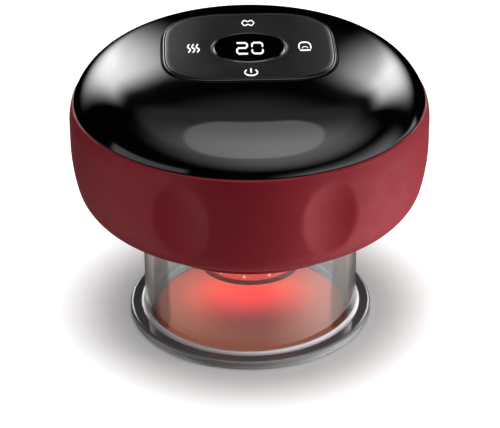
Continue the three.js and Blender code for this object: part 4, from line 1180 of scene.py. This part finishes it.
def make_valve_spring():
    """A coil in place of the CAD model's plain sleeve, which shortens as the plunger comes down."""
    low, high = (Vector(corner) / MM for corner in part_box("valve_spring"))
    middle = (low + high) / 2
    wire = SPRING["wire"]
    radius = (high.x - low.x) / 2 - wire
    length = high.z - low.z
    count = SPRING["turns"] * SPRING["steps"]
    rings = []
    for i in range(count + 1):
        turn = 2 * math.pi * i / SPRING["steps"]
        height = low.z + wire + (length - 2 * wire) * i / count
        section = arc(radius, height, wire, 0, 315, 7)
        rings.append([(middle.x + r * math.sin(turn), middle.y - r * math.cos(turn), z) for r, z in section])
    coil = capped("valve_spring_coil", rings, sharp=60)
    dress(coil, "steel", "valve_spring")
    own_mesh(coil)


# The world


def soft_window(tree, place, left, right, bottom, top, strength, lean):
    """A soft box with four soft edges, whose bottom and top rise by lean with each degree to the right."""
    sides = [ramp(tree, place["turn"], *edge) for edge in (left, right)]
    from_middle = number(tree, "SUBTRACT", place["turn"], (left[1] + right[1]) / 2)
    rise = number(tree, "SUBTRACT", place["rise"], number(tree, "MULTIPLY", from_middle, lean))
    ends = [ramp(tree, rise, *edge) for edge in (bottom, top)]
    return combined(tree, "MULTIPLY", [*sides, *ends, strength])


def distance(tree, place, centre, radii):
    """How far a place overhead is from the middle of an oval, where 1 is its edge."""
    scaled = []
    for name, middle, radius in zip("xy", centre, radii):
        scaled.append(number(tree, "DIVIDE", number(tree, "SUBTRACT", place[name], middle), radius))
    return hypotenuse(tree, *scaled)


def ceiling_field(tree, place):
    """The broad dim light overhead, which fades towards the back."""
    away = distance(tree, place, FIELD["centre"], FIELD["radii"])
    fades = [ramp(tree, away, 1.0, 0.0), ramp(tree, place["y"], *FIELD["back"])]
    return combined(tree, "MULTIPLY", [*fades, place["above"], FIELD["strength"]])


def ceiling_oval(tree, place):
    """The egg-shaped light overhead, which narrows towards the back and ends there in a straight line."""
    width, depth = OVAL["radii"]
    width = number(tree, "MULTIPLY_ADD", place["y"], OVAL["narrowing"], width)
    width = number(tree, "MAXIMUM", width, OVAL["least_width"])
    away = distance(tree, place, OVAL["centre"], (width, depth))
    fades = [ramp(tree, away, 1 + OVAL["edge"], 1 - OVAL["edge"]), ramp(tree, place["y"], *OVAL["back"])]
    return combined(tree, "MULTIPLY", [*fades, place["above"], OVAL["strength"]])


def seen_plainly(tree):
    """1 for what the camera sees, also through glass, and less for light that a surface gets through it."""
    path = add_node(tree, "ShaderNodeLightPath").outputs
    bounced = number(tree, "MINIMUM", path["Diffuse Depth"], 1.0)
    through = number(tree, "SUBTRACT", 1.0, number(tree, "MULTIPLY", bounced, 1 - THROUGH_GLASS_SHARE))
    through = number(tree, "MULTIPLY", path["Is Transmission Ray"], through)
    return number(tree, "MAXIMUM", path["Is Camera Ray"], through)


def make_world():
    """White for the camera and through glass, soft boxes for gloss, and an even light for the rest."""
    world = bpy.data.worlds.new("studio")
    bpy.context.scene.world = world
    world.use_nodes = True
    tree = world.node_tree
    x, y, z = coordinates(tree, "Generated")
    turn = number(tree, "ARCTAN2", x, number(tree, "MULTIPLY", y, -1.0))
    height = number(tree, "MAXIMUM", z, HORIZON)
    degrees = 180 / math.pi
    place = {
        "turn": number(tree, "MULTIPLY", turn, degrees),
        "rise": number(tree, "MULTIPLY", number(tree, "ARCSINE", z), degrees),
        "x": number(tree, "DIVIDE", x, height),
        "y": number(tree, "DIVIDE", y, height),
        "above": number(tree, "GREATER_THAN", z, HORIZON),
    }
    lights = [soft_window(tree, place, *values) for values in SOFT_WINDOWS]
    total = combined(tree, "ADD", [*lights, ceiling_field(tree, place), ceiling_oval(tree, place)])
    path = add_node(tree, "ShaderNodeLightPath").outputs
    unbent = number(tree, "SUBTRACT", 1.0, path["Is Transmission Ray"])
    mirrored = number(tree, "MULTIPLY", path["Is Glossy Ray"], unbent)
    strength = mixed(tree, mirrored, EVEN_LIGHT, total, "FLOAT")
    strength = mixed(tree, seen_plainly(tree), strength, 1.0, "FLOAT")
    background = tree.nodes["Background"]
    background.inputs["Color"].default_value = (1, 1, 1, 1)
    tree.links.new(strength, background.inputs["Strength"])


# Lamps, floor and camera


def area_light(name, place, target, size, power, tint=(1, 1, 1)):
    light = bpy.data.lights.new(name, "AREA")
    light.shape = "DISK"
    light.size = size * MM
    light.energy = power
    light.color = tint
    lamp = add_object(name, light)
    lamp.location = Vector(place) * MM
    lamp.rotation_euler = (Vector(target) - Vector(place)).to_track_quat("-Z", "Y").to_euler()
    lamp.visible_camera = False
    lamp.visible_glossy = False
    lamp.visible_transmission = False
    return light


def make_lamps():
    for name, (place, size, power) in LAMPS.items():
        area_light(name, place, AIM, size, power)
    ceiling = HEAD["ceiling"] - LAMP_DROP
    area_light("head_spill", (0, 0, ceiling), (0, 0, 0), SPILL["size"], SPILL["power"], SPILL["tint"])
    place, target = (0, GLOW["back"], HEAD["bottom"] - LAMP_DROP), (0, GLOW["aim_back"], 0)
    glow = area_light("warm_head", place, target, GLOW["width"], GLOW["power"], GLOW["tint"])
    glow.shape = "ELLIPSE"
    glow.size_y = GLOW["depth"] * MM
    glow.spread = math.radians(GLOW["spread"])


def make_floor():
    """Pale paper, which is white of its own away from the object; that white fades out towards the cup, a
    painted shadow round and under it, over the real shadow near it.
    """
    size = FLOOR["half_size"]
    corners = [Vector((x * size, y * size, 0)) * MM for x, y in ((-1, -1), (1, -1), (1, 1), (-1, 1))]
    floor = finish_mesh("floor", corners, [(0, 1, 2, 3)])
    paper = {"Base_Color": FLOOR["colour"], "Roughness": 0.9, "Specular_IOR_Level": 0.1}
    tree, shader = surface("floor_paper", mottle=(0.01, 40), **paper)
    away, _ = place_in_mm(tree)
    # own white that fades out near the cup: a painted shadow
    white = number(tree, "ADD", *[ramp(tree, away, *rise) for rise in FLOOR["white_fading_to_painted_shadow"]])
    white = number(tree, "MULTIPLY", white, seen_plainly(tree))
    both = tree.nodes.new("ShaderNodeAddShader")
    tree.links.new(shader.outputs[0], both.inputs[0])
    tree.links.new(add_node(tree, "ShaderNodeEmission", Strength=white).outputs[0], both.inputs[1])
    tree.links.new(both.outputs[0], tree.nodes["Material Output"].inputs["Surface"])
    floor.data.materials.append(MATERIALS["floor_paper"])
    floor.visible_glossy = False


def make_camera():
    camera = bpy.data.cameras.new("camera")
    camera.sensor_width = CAMERA["sensor"]
    camera.lens = CAMERA["focus"] * CAMERA["sensor"] / PHOTO_WIDTH
    camera.clip_start = CAMERA["clip_start"] * MM
    camera.clip_end = CAMERA["clip_end"] * MM
    holder = add_object("camera", camera)
    turn = math.radians(CAMERA["turn"])
    away = CAMERA["distance"]
    holder.location = Vector((-away * math.sin(turn), -away * math.cos(turn), CAMERA["height"])) * MM
    below = math.atan((PHOTO_HEIGHT / 2 - CAMERA["horizon_row"]) / CAMERA["focus"])
    pitch = math.radians(CAMERA["pitch"]) + below
    heading = Matrix.Rotation(-turn, 4, "Z")
    tilt = Matrix.Rotation(math.pi / 2 - pitch, 4, "X")
    roll = Matrix.Rotation(math.radians(CAMERA["roll"]), 4, "Z")
    holder.rotation_euler = (heading @ tilt @ roll).to_euler()
    bpy.context.scene.camera = holder


make_camera()
make_shell_materials()
make_panel_materials()
make_glass()
make_head_materials()
make_inner_materials()
dress_cad_nodes()
make_grip_shell()
make_cover()
make_panel()
make_window()
make_marks()
make_digits()
make_cup()
make_head()
make_socket()
make_valve_spring()
make_world()
make_lamps()
make_floor()

bpy.context.scene.view_settings.view_transform = "Standard"
